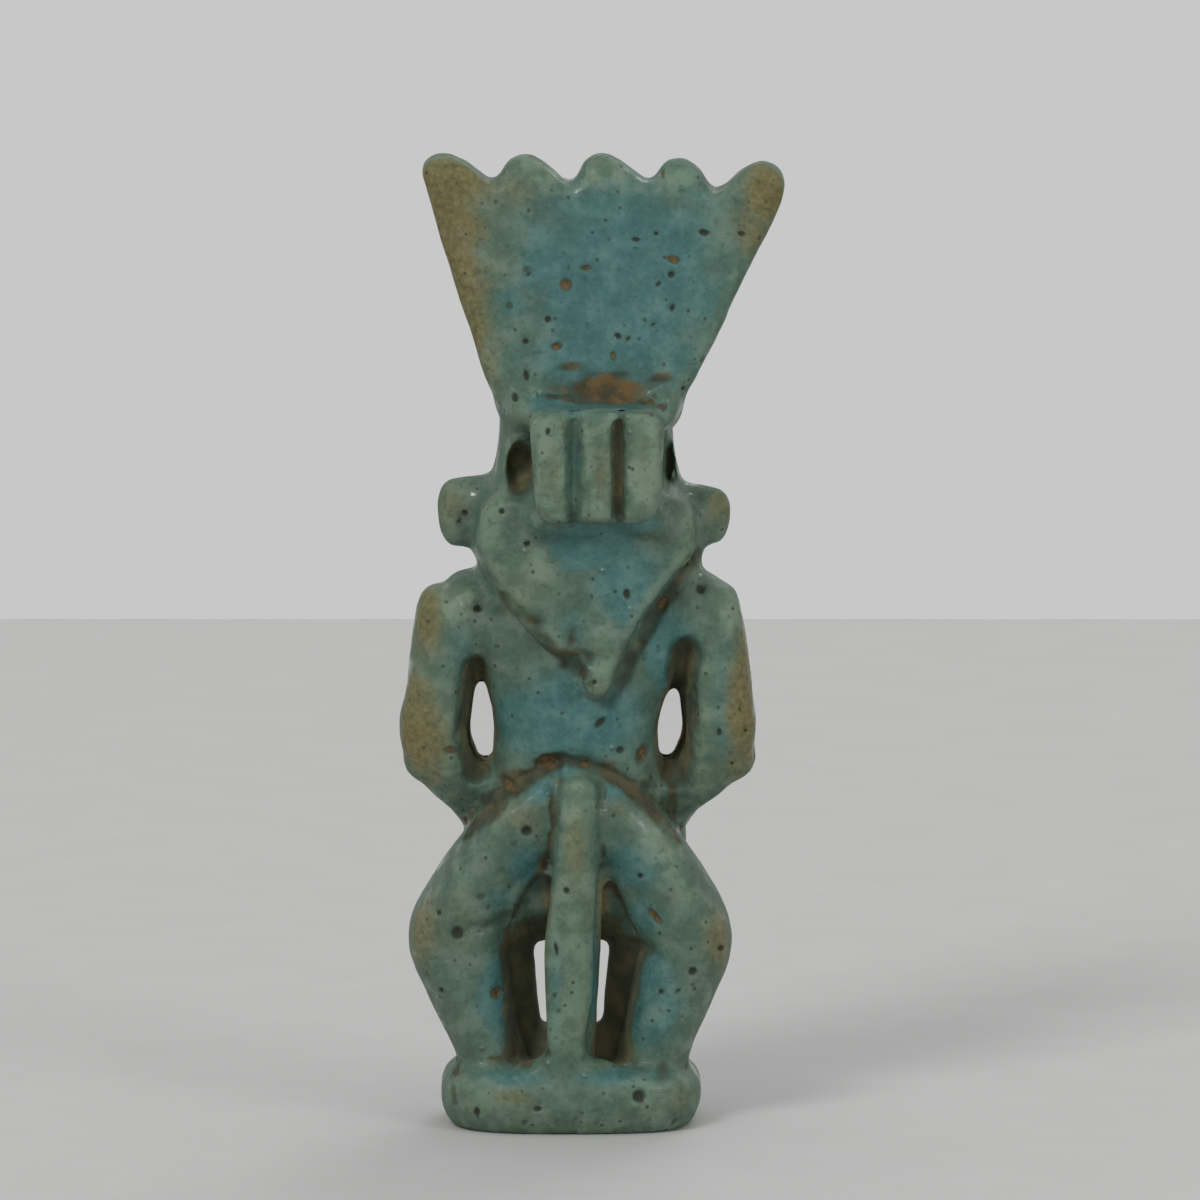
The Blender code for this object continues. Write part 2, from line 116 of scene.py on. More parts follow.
level = [(share, 0.0, 0.0) for share in (0.2, 0.6, 0.9, 1.0)]
rolled = [
    (1.0, math.sin(turn) * TABLE_ROLL, -(1 - math.cos(turn)) * TABLE_ROLL)
    for turn in np.linspace(0.1, math.pi / 2, 12)
]
rings = []
for share, out, down in level + rolled:
    outline = rounded_square((TABLE_HALF - TABLE_ROLL) * share + out, TABLE_CORNER * share + out, 144)
    rings.append(np.column_stack((outline, np.full(len(outline), down))))
table = ring_surface("table", np.array(rings))
print("the table is", round(TABLE_HALF * 2 / MM), "mm across, in", len(rings), "rings")

# %% [markdown]
# ## Wiring a material
# A node material is a sum of small parts. This class wraps one socket, so that the sums read like
# arithmetic: `1 - mask` adds a Math node. Every other node comes from `node`, which sets the node's
# own settings first and then fills its sockets with numbers or with other wires.


# %% Wires
class Wire:
    """A socket with arithmetic on it. Wire.tree is the material being wired."""

    tree = None

    def __init__(self, socket):
        self.socket = socket

    @classmethod
    def node(cls, kind, settings=None, sockets=None, out=0):
        made = cls.tree.nodes.new(kind)
        for name, value in (settings or {}).items():
            setattr(made, name, value)
        for name, value in (sockets or {}).items():
            if isinstance(value, cls):
                cls.tree.links.new(value.socket, made.inputs[name])
            else:
                made.inputs[name].default_value = value
        return cls(made.outputs[out])

    @classmethod
    def sum(cls, operation, first, second, clamp=False):
        settings = {"operation": operation, "use_clamp": clamp}
        return cls.node("ShaderNodeMath", settings, {0: first, 1: second})

    def __add__(self, other):
        return Wire.sum("ADD", self, other)

    def __radd__(self, other):
        return Wire.sum("ADD", other, self)

    def __sub__(self, other):
        return Wire.sum("SUBTRACT", self, other)

    def __rsub__(self, other):
        return Wire.sum("SUBTRACT", other, self)

    def __mul__(self, other):
        return Wire.sum("MULTIPLY", self, other)

    def __rmul__(self, other):
        return Wire.sum("MULTIPLY", other, self)

    def clamped(self):
        return Wire.sum("ADD", self, 0.0, clamp=True)

    def step(self, low, high):
        """0 below low, 1 above high, and a smooth rise between them; low may be above high."""
        sockets = {"Value": self, "From Min": low, "From Max": high}
        return Wire.node("ShaderNodeMapRange", {"interpolation_type": "SMOOTHSTEP"}, sockets)


# %% [markdown]
# ## Colours
# A colour is written as a camera records it, 0 to 255, because that is how it is read off the real
# piece. A shader adds light, so it wants the number before the camera's curve, and `paint` undoes
# that curve.


# %% Colours and materials
def paint(red, green, blue):
    """The sRGB curve undone: s / 12.92 when dark, otherwise ((s + 0.055) / 1.055) to the power 2.4."""
    share = np.array((red, green, blue), float) / 255.0
    linear = np.where(share <= 0.04045, share / 12.92, ((share + 0.055) / 1.055) ** 2.4)
    return tuple(linear.tolist()) + (1.0,)


def blend(under, over, share):
    """One colour laid over another, as thick as share says."""
    return Wire.node("ShaderNodeMix", {"data_type": "RGBA"}, {6: under, 7: over, 0: share}, out=2)


def attribute(name):
    return Wire.node("ShaderNodeAttribute", {"attribute_name": name}, out=2)


def new_material(name):
    """An empty material; what is wired next belongs to it."""
    material = bpy.data.materials.new(name)
    material.use_nodes = True
    material.node_tree.nodes.clear()
    Wire.tree = material.node_tree
    return material


def finish_material(shader):
    output = Wire.tree.nodes.new("ShaderNodeOutputMaterial")
    Wire.tree.links.new(shader.socket, output.inputs["Surface"])


def speckle(place, scale, detail=3.0, rough=0.5):
    """Noise with that many waves to the metre."""
    sockets = {"Vector": place, "Scale": scale, "Detail": detail, "Roughness": rough}
    return Wire.node("ShaderNodeTexNoise", None, sockets)


print("sRGB 186 is", round(paint(186, 186, 186)[0], 3), "to a shader")

# %% [markdown]
# ## Tabletop and lamps
# A dull pale tabletop throws a little light back up at the figure. Three square lamps stand for a
# studio: a large one up on the left that makes the shadow, a weaker one on the right that opens it,
# and one on the far side, so that the front can be looked at too. The grey round it all is the
# world's own colour. One bare bulb would be simpler, but its hard shadows would hide the hollows.

# %% Tabletop and lamps
WORLD_GREY = paint(200, 200, 200)
LAMPS = {
    "window": ((0.40, 0.62, 0.62), 0.26, 3.0),
    "reflector": ((-0.55, 0.50, 0.34), 0.30, 1.0),
    "far_side": ((-0.25, -0.65, 0.55), 0.40, 1.4),
}


def soft_light(name, place, width, power):
    """A square lamp that faces the figure; the wider it is, the softer its shadows."""
    lamp = bpy.data.lights.new(name, "AREA")
    lamp.size, lamp.energy = width, power
    made = bpy.data.objects.new(name, lamp)
    made.location = place
    made.rotation_euler = (AIM - Vector(place)).to_track_quat("-Z", "Y").to_euler()
    bpy.context.scene.collection.objects.link(made)


tabletop = new_material("pale_table")
mottle = speckle(Wire.node("ShaderNodeTexCoord", out=3), 260.0)
card = blend(paint(186, 186, 185), paint(193, 193, 192), mottle)
finish_material(Wire.node("ShaderNodeBsdfPrincipled", None, {"Base Color": card, "Roughness": 0.85}))
table.data.materials.append(tabletop)

world = bpy.data.worlds.new("studio")
world.use_nodes = True
world.node_tree.nodes["Background"].inputs["Color"].default_value = WORLD_GREY
bpy.context.scene.world = world
bpy.context.scene.view_settings.view_transform = "Standard"
for name, (place, width, power) in LAMPS.items():
    soft_light(name, place, width, power)
print("lamps:", ", ".join(LAMPS))

# %% [markdown]
# ## Numbers kept on points
# Every shape below is worked out for all points at once, as arrays. A mesh lends its points in
# millimetres and takes them back in metres.


# %% Points in and out
def points_of(mesh):
    flat = np.empty(len(mesh.vertices) * 3, np.float32)
    mesh.vertices.foreach_get("co", flat)
    return flat.reshape(-1, 3).astype(float) / MM


def set_points(mesh, points):
    mesh.vertices.foreach_set("co", (points * MM).astype(np.float32).ravel())
    mesh.update()


def normals_of(mesh):
    flat = np.empty(len(mesh.vertices) * 3, np.float32)
    mesh.vertex_normals.foreach_get("vector", flat)
    return flat.reshape(-1, 3).astype(float)


def edges_of(mesh):
    flat = np.empty(len(mesh.edges) * 2, np.int32)
    mesh.edges.foreach_get("vertices", flat)
    return flat.reshape(-1, 2)


def triangle_count(mesh):
    return sum(len(face.vertices) - 2 for face in mesh.polygons)


print("the solid has", triangle_count(solid.data), "triangles")

# %% [markdown]
# ## Soft steps, bells and clouds
# Nothing on a worn moulded piece starts or stops at once. Three curves do nearly all the work: a
# smooth step, a bell, and a cloud of smooth noise from a fixed seed, so that each run gives the same
# figure. Smoothing moves each point towards the mean of its neighbours.


# %% Soft steps, bells and clouds
def rise(values, low, high):
    """0 at low, 1 at high, and a smooth step between them, 3s^2 - 2s^3; low may be above high."""
    share = np.clip((values - low) / (high - low), 0.0, 1.0)
    return share * share * (3.0 - 2.0 * share)


def bell(distance, width):
    """1 at no distance and 0 from width on: (1 - (d/w)^2)^2."""
    return np.clip(1.0 - (distance / width) ** 2, 0.0, 1.0) ** 2


def cloud(points, grain, seed):
    """Smooth noise from -1 to 1: random numbers on a lattice grain apart, blended between its corners."""
    lattice = np.random.default_rng(seed).uniform(-1.0, 1.0, (32, 32, 32))
    cell = points / np.asarray(grain, float)
    base = np.floor(cell).astype(int)
    part = cell - base
    part = part * part * (3.0 - 2.0 * part)
    total = np.zeros(len(points))
    for corner in np.ndindex(2, 2, 2):
        spot = (base + corner) % 32
        weight = np.prod(np.where(corner, part, 1.0 - part), 1)
        total += lattice[spot[:, 0], spot[:, 1], spot[:, 2]] * weight
    return total


def neighbour_mean(values, edges):
    """For every point, the average of values over the points it shares an edge with."""
    a, b = edges.T
    count = np.bincount(a, minlength=len(values)) + np.bincount(b, minlength=len(values))
    columns = [
        np.bincount(a, values[b, k], len(values)) + np.bincount(b, values[a, k], len(values))
        for k in range(values.shape[1])
    ]
    return np.stack(columns, 1) / count[:, None]


def wipe(points, edges, passes, pull=0.5, push=-0.53):
    """Taubin smoothing: points move pull of the way to their neighbours' mean, then push of it back."""
    for _ in range(passes):
        points = points + pull * (neighbour_mean(points, edges) - points)
        points = points + push * (neighbour_mean(points, edges) - points)
    return points


# %% [markdown]
# ## Wads of paste
# A few small wads of paste are pressed on where the real one flows from one form into the next:
# beside the loop, and at the foot of the tail. A wad is a sphere stretched three ways. It could be a
# UV sphere from Blender's own tools, but as arrays it can go straight into the copy of the solid.

# %% Wads of paste
WADS = [
    ((2.25, 1.50, 30.3), (0.90, 1.15, 1.9)),
    ((-3.75, 1.50, 30.3), (0.90, 1.15, 1.9)),
    ((0.30, 2.45, 2.2), (1.35, 1.05, 1.25)),
]


def wad(centre, radii, steps=24):
    """A stretched sphere: centre + radii * (cos u sin v, sin u sin v, cos v), as points and faces."""
    around = np.linspace(0.0, 2.0 * math.pi, steps, endpoint=False)
    down = np.linspace(0.0, math.pi, steps // 2 + 1)[1:-1]
    v, u = np.meshgrid(down, around, indexing="ij")
    ring = np.stack((np.cos(u) * np.sin(v), np.sin(u) * np.sin(v), np.cos(v)), -1).reshape(-1, 3)
    points = np.vstack((ring, (0, 0, 1), (0, 0, -1))) * radii + centre
    row, near = np.meshgrid(np.arange(len(down) - 1) * steps, np.arange(steps), indexing="ij")
    after = (near + 1) % steps
    faces = np.stack((row + near, row + steps + near, row + steps + after, row + after), -1)
    faces = faces.reshape(-1, 4).tolist()
    near, after, last = np.arange(steps), (np.arange(steps) + 1) % steps, len(ring) - steps
    faces += np.stack((np.full(steps, len(ring)), near, after), 1).tolist()
    faces += np.stack((last + after, last + near, np.full(steps, len(ring) + 1)), 1).tolist()
    return points * MM, faces


print(len(WADS), "wads, of", len(wad(*WADS[0])[0]), "points each")

# %% [markdown]
# ## The skin
# The workshop's solid has about nine thousand flat faces, which is right for handling it and too few
# for its looks. A copy is merged, since the solid comes as loose triangles, and the wads are laid on
# it. Then all of it is meshed again on an even grid, which melts the wads in, and a Taubin wipe takes
# the flats off: one pass pulls each point towards its neighbours' mean, the next pushes it back a
# little more, so that bumps go and the size stays. A subdivision surface would smooth too, but it
# shrinks thin parts.

# %% The skin
GRAIN = 0.20
FIRST_WIPE = 8


def even_mesh(node, grain):
    """The node's shape with the wads on it, on an even grid: corners merged, then a voxel remesh."""
    shapes = bmesh.new()
    shapes.from_mesh(node.data)
    bmesh.ops.remove_doubles(shapes, verts=shapes.verts, dist=1e-6)
    for centre, radii in WADS:
        points, faces = wad(centre, radii)
        lump = bpy.data.meshes.new("wad")
        lump.from_pydata(points.tolist(), [], faces)
        shapes.from_mesh(lump)
        bpy.data.meshes.remove(lump)
    mesh = bpy.data.meshes.new("moulded_figure")
    shapes.to_mesh(mesh)
    shapes.free()
    made = bpy.data.objects.new("moulded_figure", mesh)
    bpy.context.scene.collection.objects.link(made)
    grid = made.modifiers.new("grid", "REMESH")
    grid.mode, grid.voxel_size, grid.adaptivity = "VOXEL", grain * MM, 0.0
    seen = bpy.context.evaluated_depsgraph_get()
    finished = bpy.data.meshes.new_from_object(made.evaluated_get(seen))
    made.modifiers.clear()
    made.data = finished
    finished.name = "moulded_figure"
    return made


figure = even_mesh(solid, GRAIN)
skin = points_of(figure.data)
skin = wipe(skin, edges_of(figure.data), FIRST_WIPE)
set_points(figure.data, skin)
print("the even skin has", len(skin), "points and", triangle_count(figure.data), "triangles")

# %% [markdown]
# ## Working on one side only
# A line drawn across the back must not reach the chest behind it. A coarse grid over the figure
# keeps, in each cell, how far back the paste comes there, and a point belongs to the back if it lies
# close to that. Fine lines also need finer cells in the mesh, so edges near them are cut in two.

# %% One side, and finer cells
SIDE_CELL = 0.25


def seen_from_behind(points, normals, slack=0.9, side=1.0):
    """1 where a point faces +Y and lies less than slack in front of the furthest-back point of its
    cell. side = -1 asks the same from the front, with -Y in the place of +Y."""
    cell = np.floor((points[:, (0, 2)] - points[:, (0, 2)].min(0)) / SIDE_CELL).astype(int)
    wide = cell.max(0) + 1
    index = cell[:, 0] * wide[1] + cell[:, 1]
    nearest = np.full(wide[0] * wide[1], -99.0)
    np.maximum.at(nearest, index, points[:, 1] * side)
    return (points[:, 1] * side > nearest[index] - slack) * rise(normals[:, 1] * side, 0.0, 0.35)


def refine(mesh, chosen):
    """Cuts in two every edge whose ends are both chosen, so that the cells there are half as wide."""
    picked = np.flatnonzero(chosen[edges_of(mesh)].all(1)).tolist()
    shapes = bmesh.new()
    shapes.from_mesh(mesh)
    shapes.edges.ensure_lookup_table()
    chosen_edges = [shapes.edges[i] for i in picked]
    bmesh.ops.subdivide_edges(shapes, edges=chosen_edges, cuts=1, use_grid_fill=True)
    shapes.to_mesh(mesh)
    shapes.free()


rear = seen_from_behind(skin, normals_of(figure.data)) > 0.3
print("points that belong to the back:", int(rear.sum()))

# %% [markdown]
# ## Lines on the back
# On the real figure the mould's lines were sharpened with a point, and the soft paste crumbled a
# little along them. Each carved line here is a bent line across the back, seen square on: its (x, z)
# corners, then its width and depth in millimetres, and the share of dirt that it holds. They are
# listed one by one, because no rule gives the lines that a hand once made.

# %% Lines on the back
CARVED = {
    "waist_left": (
        [(4.32, 11.87), (3.67, 12.6), (2.98, 13.25), (2.26, 13.9), (1.57, 14.39), (0.93, 14.8),
         (0.36, 15.04)],
        0.42, 0.30, 1.05,
    ),
    "waist_right": (
        [(0.36, 15.12), (-0.56, 14.92), (-1.29, 14.6), (-1.98, 14.2), (-2.78, 13.66), (-3.39, 13.01),
         (-3.91, 12.35), (-4.4, 11.7)],
        0.46, 0.28, 0.85,
    ),
    "arm_left": ([(3.95, 18.7), (4.02, 17.8), (4.08, 16.5), (4.02, 15.3), (3.85, 14.4)], 0.68, 0.95, 0.80),
    "arm_right": (
        [(-4.60, 19.3), (-4.48, 18.2), (-4.45, 16.8), (-4.36, 15.4), (-4.2, 14.4)], 0.82, 1.30, 1.0,
    ),
    "tail_left": (
        [(0.56, 14.6), (0.64, 13.6), (0.64, 12.38), (0.75, 11.56), (0.93, 10.66)], 0.26, 0.26, 0.42,
    ),
    "tail_right": ([(-1.13, 14.57), (-1.25, 14.0), (-1.17, 13.35)], 0.30, 0.26, 0.55),
    "tail_edge": ([(-1.13, 13.35), (-1.13, 12.0), (-1.2, 11.2)], 0.22, 0.14, 0.12),
    "knee_left": ([(2.2, 8.68), (3.19, 8.36), (4.0, 8.23)], 0.36, 0.20, 0.34),
    "knee_right": ([(-1.85, 7.46), (-2.38, 7.34), (-3.27, 7.26)], 0.36, 0.20, 0.45),
    "mane_left": (
        [(2.70, 21.75), (1.85, 20.92), (1.17, 20.19), (0.6, 19.62), (0.04, 19.09), (-0.44, 18.72)],
        0.50, 0.28, 0.62,
    ),
    "mane_notch": ([(-0.12, 20.4), (-0.12, 19.95), (-0.45, 19.6), (-0.80, 19.35)], 0.36, 0.26, 0.50),
    "drop_left": ([(-0.36, 18.97), (-0.46, 18.32), (-0.75, 17.6), (-1.1, 17.35)], 0.26, 0.20, 0.22),
    "drop_top": ([(-0.50, 19.1), (-0.85, 19.36), (-1.25, 19.42)], 0.20, 0.14, 0.15),
    "mane_right": (
        [(-4.95, 23.35), (-4.43, 22.46), (-3.9, 21.65), (-3.42, 21.0), (-3.02, 20.35), (-2.66, 19.7),
         (-2.34, 19.05), (-2.01, 18.4), (-1.65, 17.83), (-1.29, 17.42)],
        0.50, 0.24, 0.66,
    ),
    # under_loop is a shallow groove, and its dirt share is painted shade where the loop's overhang shades the
    # mane below it.
    "under_loop": ([(0.9, 24.9), (-0.16, 24.78), (-1.57, 24.7), (-2.6, 24.4)], 0.34, 0.08, 0.26),
    "loop_top": ([(1.12, 29.98), (-0.36, 29.86), (-1.97, 29.80), (-3.66, 29.68)], 0.22, 0.16, 0.80),
    "loop_slot": ([(-2.0, 29.7), (-2.03, 28.4), (-2.03, 25.2)], 0.24, 0.22, 0.55),
    "loop_valley": ([(-0.14, 29.5), (-0.12, 28.4), (-0.10, 26.9), (-0.06, 25.0)], 0.44, 0.26, 0.10),
    "heel_left": ([(3.19, 2.87), (2.38, 2.79), (1.66, 2.92)], 0.26, 0.10, 0.75),
    "heel_right": ([(-0.57, 3.0), (-1.98, 2.67), (-3.19, 2.42)], 0.28, 0.10, 0.15),
    "base_left": ([(4.48, 2.7), (4.81, 1.97), (4.64, 1.15)], 0.16, 0.10, 0.50),
}
print(len(CARVED), "lines on the back, the deepest", max(line[2] for line in CARVED.values()), "mm")

# %% [markdown]
# ## How a line is carved
# A point's distance to the line, shaken by a little noise so that the edge crumbles, goes through a
# bell curve and pushes the point in. A boolean cut would leave hard edges that no worn glaze has.


# %% How a line is carved
def to_line(spots, corners):
    """Distance from each (x, z) spot to the bent line through the corners."""
    corners = np.array(corners, float)
    nearest = np.full(len(spots), 99.0)
    for a, b in zip(corners[:-1], corners[1:]):
        share = np.clip((spots - a) @ (b - a) / ((b - a) @ (b - a)), 0.0, 1.0)
        nearest = np.minimum(nearest, np.linalg.norm(spots - a - share[:, None] * (b - a), axis=1))
    return nearest


def carve(points, normals, slack=0.9, lines=CARVED, side=1.0, crumbled=1.0):
    """How far each point sinks and how much dirt it holds, from all carved lines on one side; along the line
    under the loop that dirt is painted shade.
    """
    spots = points[:, (0, 2)]
    seen = seen_from_behind(points, normals, slack, side)
    crumble = (0.10 * cloud(points, 0.55, 3) + 0.06 * cloud(points, 0.22, 4)) * crumbled
    thin = 0.85 + 0.35 * cloud(points, 0.8, 5)
    sink, dirt_and_shade = np.zeros(len(points)), np.zeros(len(points))
    for line, width, depth, hold in lines.values():
        distance = np.maximum(to_line(spots, line) + crumble, 0.0)
        sink = np.maximum(sink, depth * bell(distance, width))
        dirt_and_shade = np.maximum(dirt_and_shade, hold * thin * bell(distance, width * 1.25))
    return sink * seen, dirt_and_shade * seen


rear_sink, rear_dirt_and_shade = carve(skin, normals_of(figure.data))
print("points on a line:", int((rear_sink > 0.02).sum()), "and in its dirt:", int((rear_dirt_and_shade > 0.02).sum()))

# %% [markdown]
# ## Lines on the front
# The front of such a figure is a face under a tall crown of plumes. The face here is a calm
# leonine mask of a general kind: lids, a mouth line, and a beard parted into locks. The lines are
# laid out by rule, not by hand: the plumes fan out from the brow, the beard's partings lie on rays
# from the chin, fingers and pleats stand side by side. They are shallower and plainer than the back's.

# %% Lines on the front
PLUME_FEET, PLUME_TIPS = (1.95, 0.68, -0.62, -1.92, -3.2), (4.75, 1.6, -1.5, -4.45, -7.4)
NOSE_X, CHIN_Z, EYE_X, EYE_Z = -0.6, 25.7, 1.38, 27.05
EAR_X, EAR_Z, NOSTRIL_X = 5.2, 24.9, 0.34
HAND_X, FINGER_GAP, FOOT_X, TOE_GAP = (3.3, -3.65), 0.5, 3.1, 0.62
LOCKS, LOCK_TURN, LOCK_START, LOCK_END = 10, 15.6, 2.5, 4.4
BELT_Z, PLEAT_GAP = (12.42, 11.78), 0.44


def oval(x, z, wide, high, steps=20):
    """Corners of an oval: (x + wide cos t, z + high sin t)."""
    turn = np.linspace(0.0, 2.0 * math.pi, steps)
    return np.column_stack((x + wide * np.cos(turn), z + high * np.sin(turn)))


FRONT = {}
for i, (foot, tip) in enumerate(zip(PLUME_FEET, PLUME_TIPS)):
    FRONT[f"plume_{i}_rib"] = ([(foot, 30.7), (tip, 37.9)], 0.20, 0.16, 0.40)
for i in range(len(PLUME_FEET) - 1):
    foot, tip = (sum(row[i : i + 2]) / 2 for row in (PLUME_FEET, PLUME_TIPS))
    FRONT[f"plume_{i}_parting"] = ([(foot, 30.6), (tip, 38.6)], 0.42, 0.30, 0.45)
for i, side in enumerate((1, -1)):
    nostril = NOSE_X + side * NOSTRIL_X
    FRONT[f"eye_{i}"] = (oval(NOSE_X + side * EYE_X, EYE_Z, 0.80, 0.46), 0.22, 0.20, 0.75)
    FRONT[f"ear_{i}"] = (oval(NOSE_X + 0.1 + side * EAR_X, EAR_Z, 0.22, 0.45), 0.30, 0.22, 0.55)
    FRONT[f"nostril_{i}"] = ([(nostril, 25.92), (nostril + side * 0.12, 26.0)], 0.20, 0.20, 0.9)
    for j in (-1, 0, 1):
        finger, toe = HAND_X[i] + j * FINGER_GAP, side * FOOT_X + j * TOE_GAP
        FRONT[f"finger_{i}_{j}"] = ([(finger, 11.7), (finger, 10.2)], 0.18, 0.18, 0.6)
        FRONT[f"toe_{i}_{j}"] = ([(toe, 3.4), (toe, 2.55)], 0.20, 0.18, 0.5)
FRONT["navel"] = ([(-0.2, 14.78), (-0.2, 14.6)], 0.28, 0.22, 0.8)
smile = [(-1.75, 24.85), (-1.15, 24.55), (-0.6, 24.68), (-0.05, 24.55), (0.55, 24.85)]
FRONT["mouth"] = (smile, 0.20, 0.20, 0.9)
for i, turn in enumerate(np.radians((np.arange(LOCKS) - LOCKS // 2 + 0.5) * LOCK_TURN)):
    ray = np.array((math.sin(turn), -math.cos(turn)))
    chin = np.array((NOSE_X, CHIN_Z))
    FRONT[f"lock_{i}"] = ([chin + ray * LOCK_START, chin + ray * LOCK_END], 0.24, 0.22, 0.5)
for i, z in enumerate(BELT_Z):
    FRONT[f"belt_{i}"] = ([(-3.2, z), (-0.2, z - 0.12), (2.8, z)], 0.18, 0.14, 0.55)
for i, x in enumerate(np.arange(-1.5, 1.2, PLEAT_GAP)):
    FRONT[f"pleat_{i}"] = ([(x, 11.5), (x * 1.08, 7.5)], 0.18, 0.14, 0.4)
print(len(FRONT), "lines on the front")

# %% [markdown]
# ## Hollows that are shallower than a straight cut
# Above the gaps between the legs, beside the loop and under it, and at one shoulder, the real
# hollows are shallower than the solid's straight cuts: their floors are raised and their rims stay.
# Where two forms run together, plain smoothing inside a soft ball melts the edge between them.

# %% Raised floors and melted edges
MELTED = [
    ((3.4, 2.6, 25.5), 1.7, 40), ((-4.7, 2.6, 25.4), 1.6, 40), ((2.4, 2.4, 29.6), 1.5, 30),
    ((-3.9, 2.4, 29.6), 1.4, 30), ((1.5, 4.3, 29.6), 1.3, 40), ((-3.6, 4.3, 29.5), 1.1, 34),
    ((-3.5, 4.5, 25.3), 1.1, 34), ((4.0, 1.0, 22.9), 0.9, 12), ((3.3, 2.6, 22.4), 1.5, 50),
    ((1.5, 4.6, 25.3), 0.8, 18), ((0.7, 3.8, 25.1), 0.9, 10), ((-0.5, 3.8, 25.1), 0.9, 10),
    ((-1.7, 3.8, 25.1), 0.9, 10), ((-2.9, 3.8, 25.0), 0.9, 16),
]


def raise_floor(points):
    """Lifts what lies low in four hollows; each lift fades to nothing at the hollow's rim, a given Y."""
    x, y, z = points.T
    over_gaps = 2.2 * rise(z, 6.9, 8.9) * rise(z, 11.4, 10.4) * rise(np.abs(x + 0.2), 3.1, 2.5)
    beside_loop = 1.5 * rise(x, 3.1, 1.75) * rise(x, -4.7, -3.8) * rise(z, 28.55, 29.1)
    beside_loop = beside_loop * rise(z, 30.15, 29.6) * rise(np.abs(x + 1.07), 2.3, 2.7)
    under_loop = 0.9 * rise(z, 24.0, 25.0) * rise(z, 25.7, 25.3) * rise(np.abs(x + 1.03), 3.1, 2.4)
    shoulder = 1.0 * bell(np.hypot((x - 3.4) / 1.7, (z - 22.5) / 1.8), 1.0)
    hollows = ((over_gaps, 1.9, 3.1), (beside_loop, 4.7, 2.3), (under_loop, 4.6, 1.7), (shoulder, 2.9, 1.2))
    for lift, rim, depth in hollows:
        y = y + lift * np.clip((rim - y) / depth, 0.0, 1.0) * (y > rim - depth * 1.15)
    return y


def melt(points, edges):
    """Plain smoothing, passes times, inside soft balls (centre, radius, passes)."""
    for centre, radius, passes in MELTED:
        where = bell(np.linalg.norm(points - centre, axis=1), radius)[:, None]
        for _ in range(passes):
            points = points + where * 0.5 * (neighbour_mean(points, edges) - points)
    return points


before = skin.copy()
skin[:, 1] = raise_floor(skin)
skin = melt(skin, edges_of(figure.data))
set_points(figure.data, skin)
print("floors rose by up to", round(float((skin - before)[:, 1].max()), 2), "mm")

# %% [markdown]
# ## Swollen forms and worn mouths
# The thighs are bands that stand a little proud of the calves, and the drop at the mane's point is a
# small swelling. The loop's three bars are rounded, and its two grooves differ: the left one is a
# soft valley and the right one a narrow dark slot. The cord wore a hollow into the paste at each
# mouth of its hole. These are slopes too gentle for a carved line, so they are fields of their own.

# %% Swollen forms and worn mouths
BANDS = [
    ([(1.1, 13.6), (2.6, 12.3), (4.0, 10.6), (5.0, 8.6)], 1.5, 0.16),
    ([(-1.7, 13.2), (-3.0, 12.4), (-4.3, 10.6), (-5.3, 8.4)], 1.3, 0.16),
    ([(-0.2, 14.2), (-0.3, 11.5), (-0.1, 8.0), (0.2, 4.5)], 0.75, 0.10),
    ([(-0.98, 18.55), (-1.02, 18.05)], 0.70, 0.24),
    ([(3.67, 2.22), (2.87, 2.3), (1.86, 2.47), (1.25, 2.71), (0.93, 3.12)], 0.24, 0.09),
    (
        [(-0.28, 3.04), (-0.48, 2.63), (-0.85, 2.39), (-1.65, 2.22), (-2.78, 2.14), (-3.67, 1.9),
         (-4.4, 1.9)],
        0.24, 0.09,
    ),
]
LOOP_BARS, BAR_HALF, BAR_FALL = (0.80, -1.05, -2.95), 0.85, 0.16
MOUTHS = [(1.98, 26.95, 0.62, 1.12, 1.3), (-3.98, 27.0, 0.36, 1.15, 0.8)]


def swell(points, normals):
    """How far each point comes out: raised bands, and on the loop a fall of (offset/half)^2 off each bar."""
    spots = points[:, (0, 2)]
    rear = seen_from_behind(points, normals)
    lift = sum(height * bell(to_line(spots, line), width) for line, width, height in BANDS)
    on_loop = rise(points[:, 1], 4.0, 4.3) * rise(spots[:, 1], 24.9, 25.3) * rise(spots[:, 1], 30.0, 29.6)
    offset = np.min([np.abs(spots[:, 0] - x) for x in LOOP_BARS], 0)
    lift = lift - on_loop * BAR_FALL * np.clip(offset / BAR_HALF, 0.0, 1.2) ** 2
    return lift * rear


def hollow_mouths(points, normals):
    """How far the crown's back sinks beside the loop, where the cord goes in: ovals with steep sides."""
    beside = rise(normals[:, 1], 0.0, 0.35) * (points[:, 1] > 0.6) * (points[:, 1] < 3.4)
    sink = np.zeros(len(points))
    for x, z, wide, high, depth in MOUTHS:
        distance = np.hypot((points[:, 0] - x) / wide, (points[:, 2] - z) / high)
        sink = np.maximum(sink, depth * rise(distance, 1.15, 0.45))
    return sink * beside


print(len(BANDS), "raised bands,", len(LOOP_BARS), "bars and", len(MOUTHS), "worn mouths")

# %% [markdown]
# ## Carving it
# The mesh is made finer first, where it bends most and along every line, since a line half a
# millimetre wide needs more than two cells across. How much the skin bends is the difference between
# a point's normal and its neighbours', spread out a little. Finer cells everywhere would be simpler,
# but they would be spent on flats.

# %% Carving it
BENT_SHARE = 85


def carve_front(points, normals):
    """The front's lines crumble less than the back's."""
    return carve(points, normals, 0.9, FRONT, -1.0, 0.3)


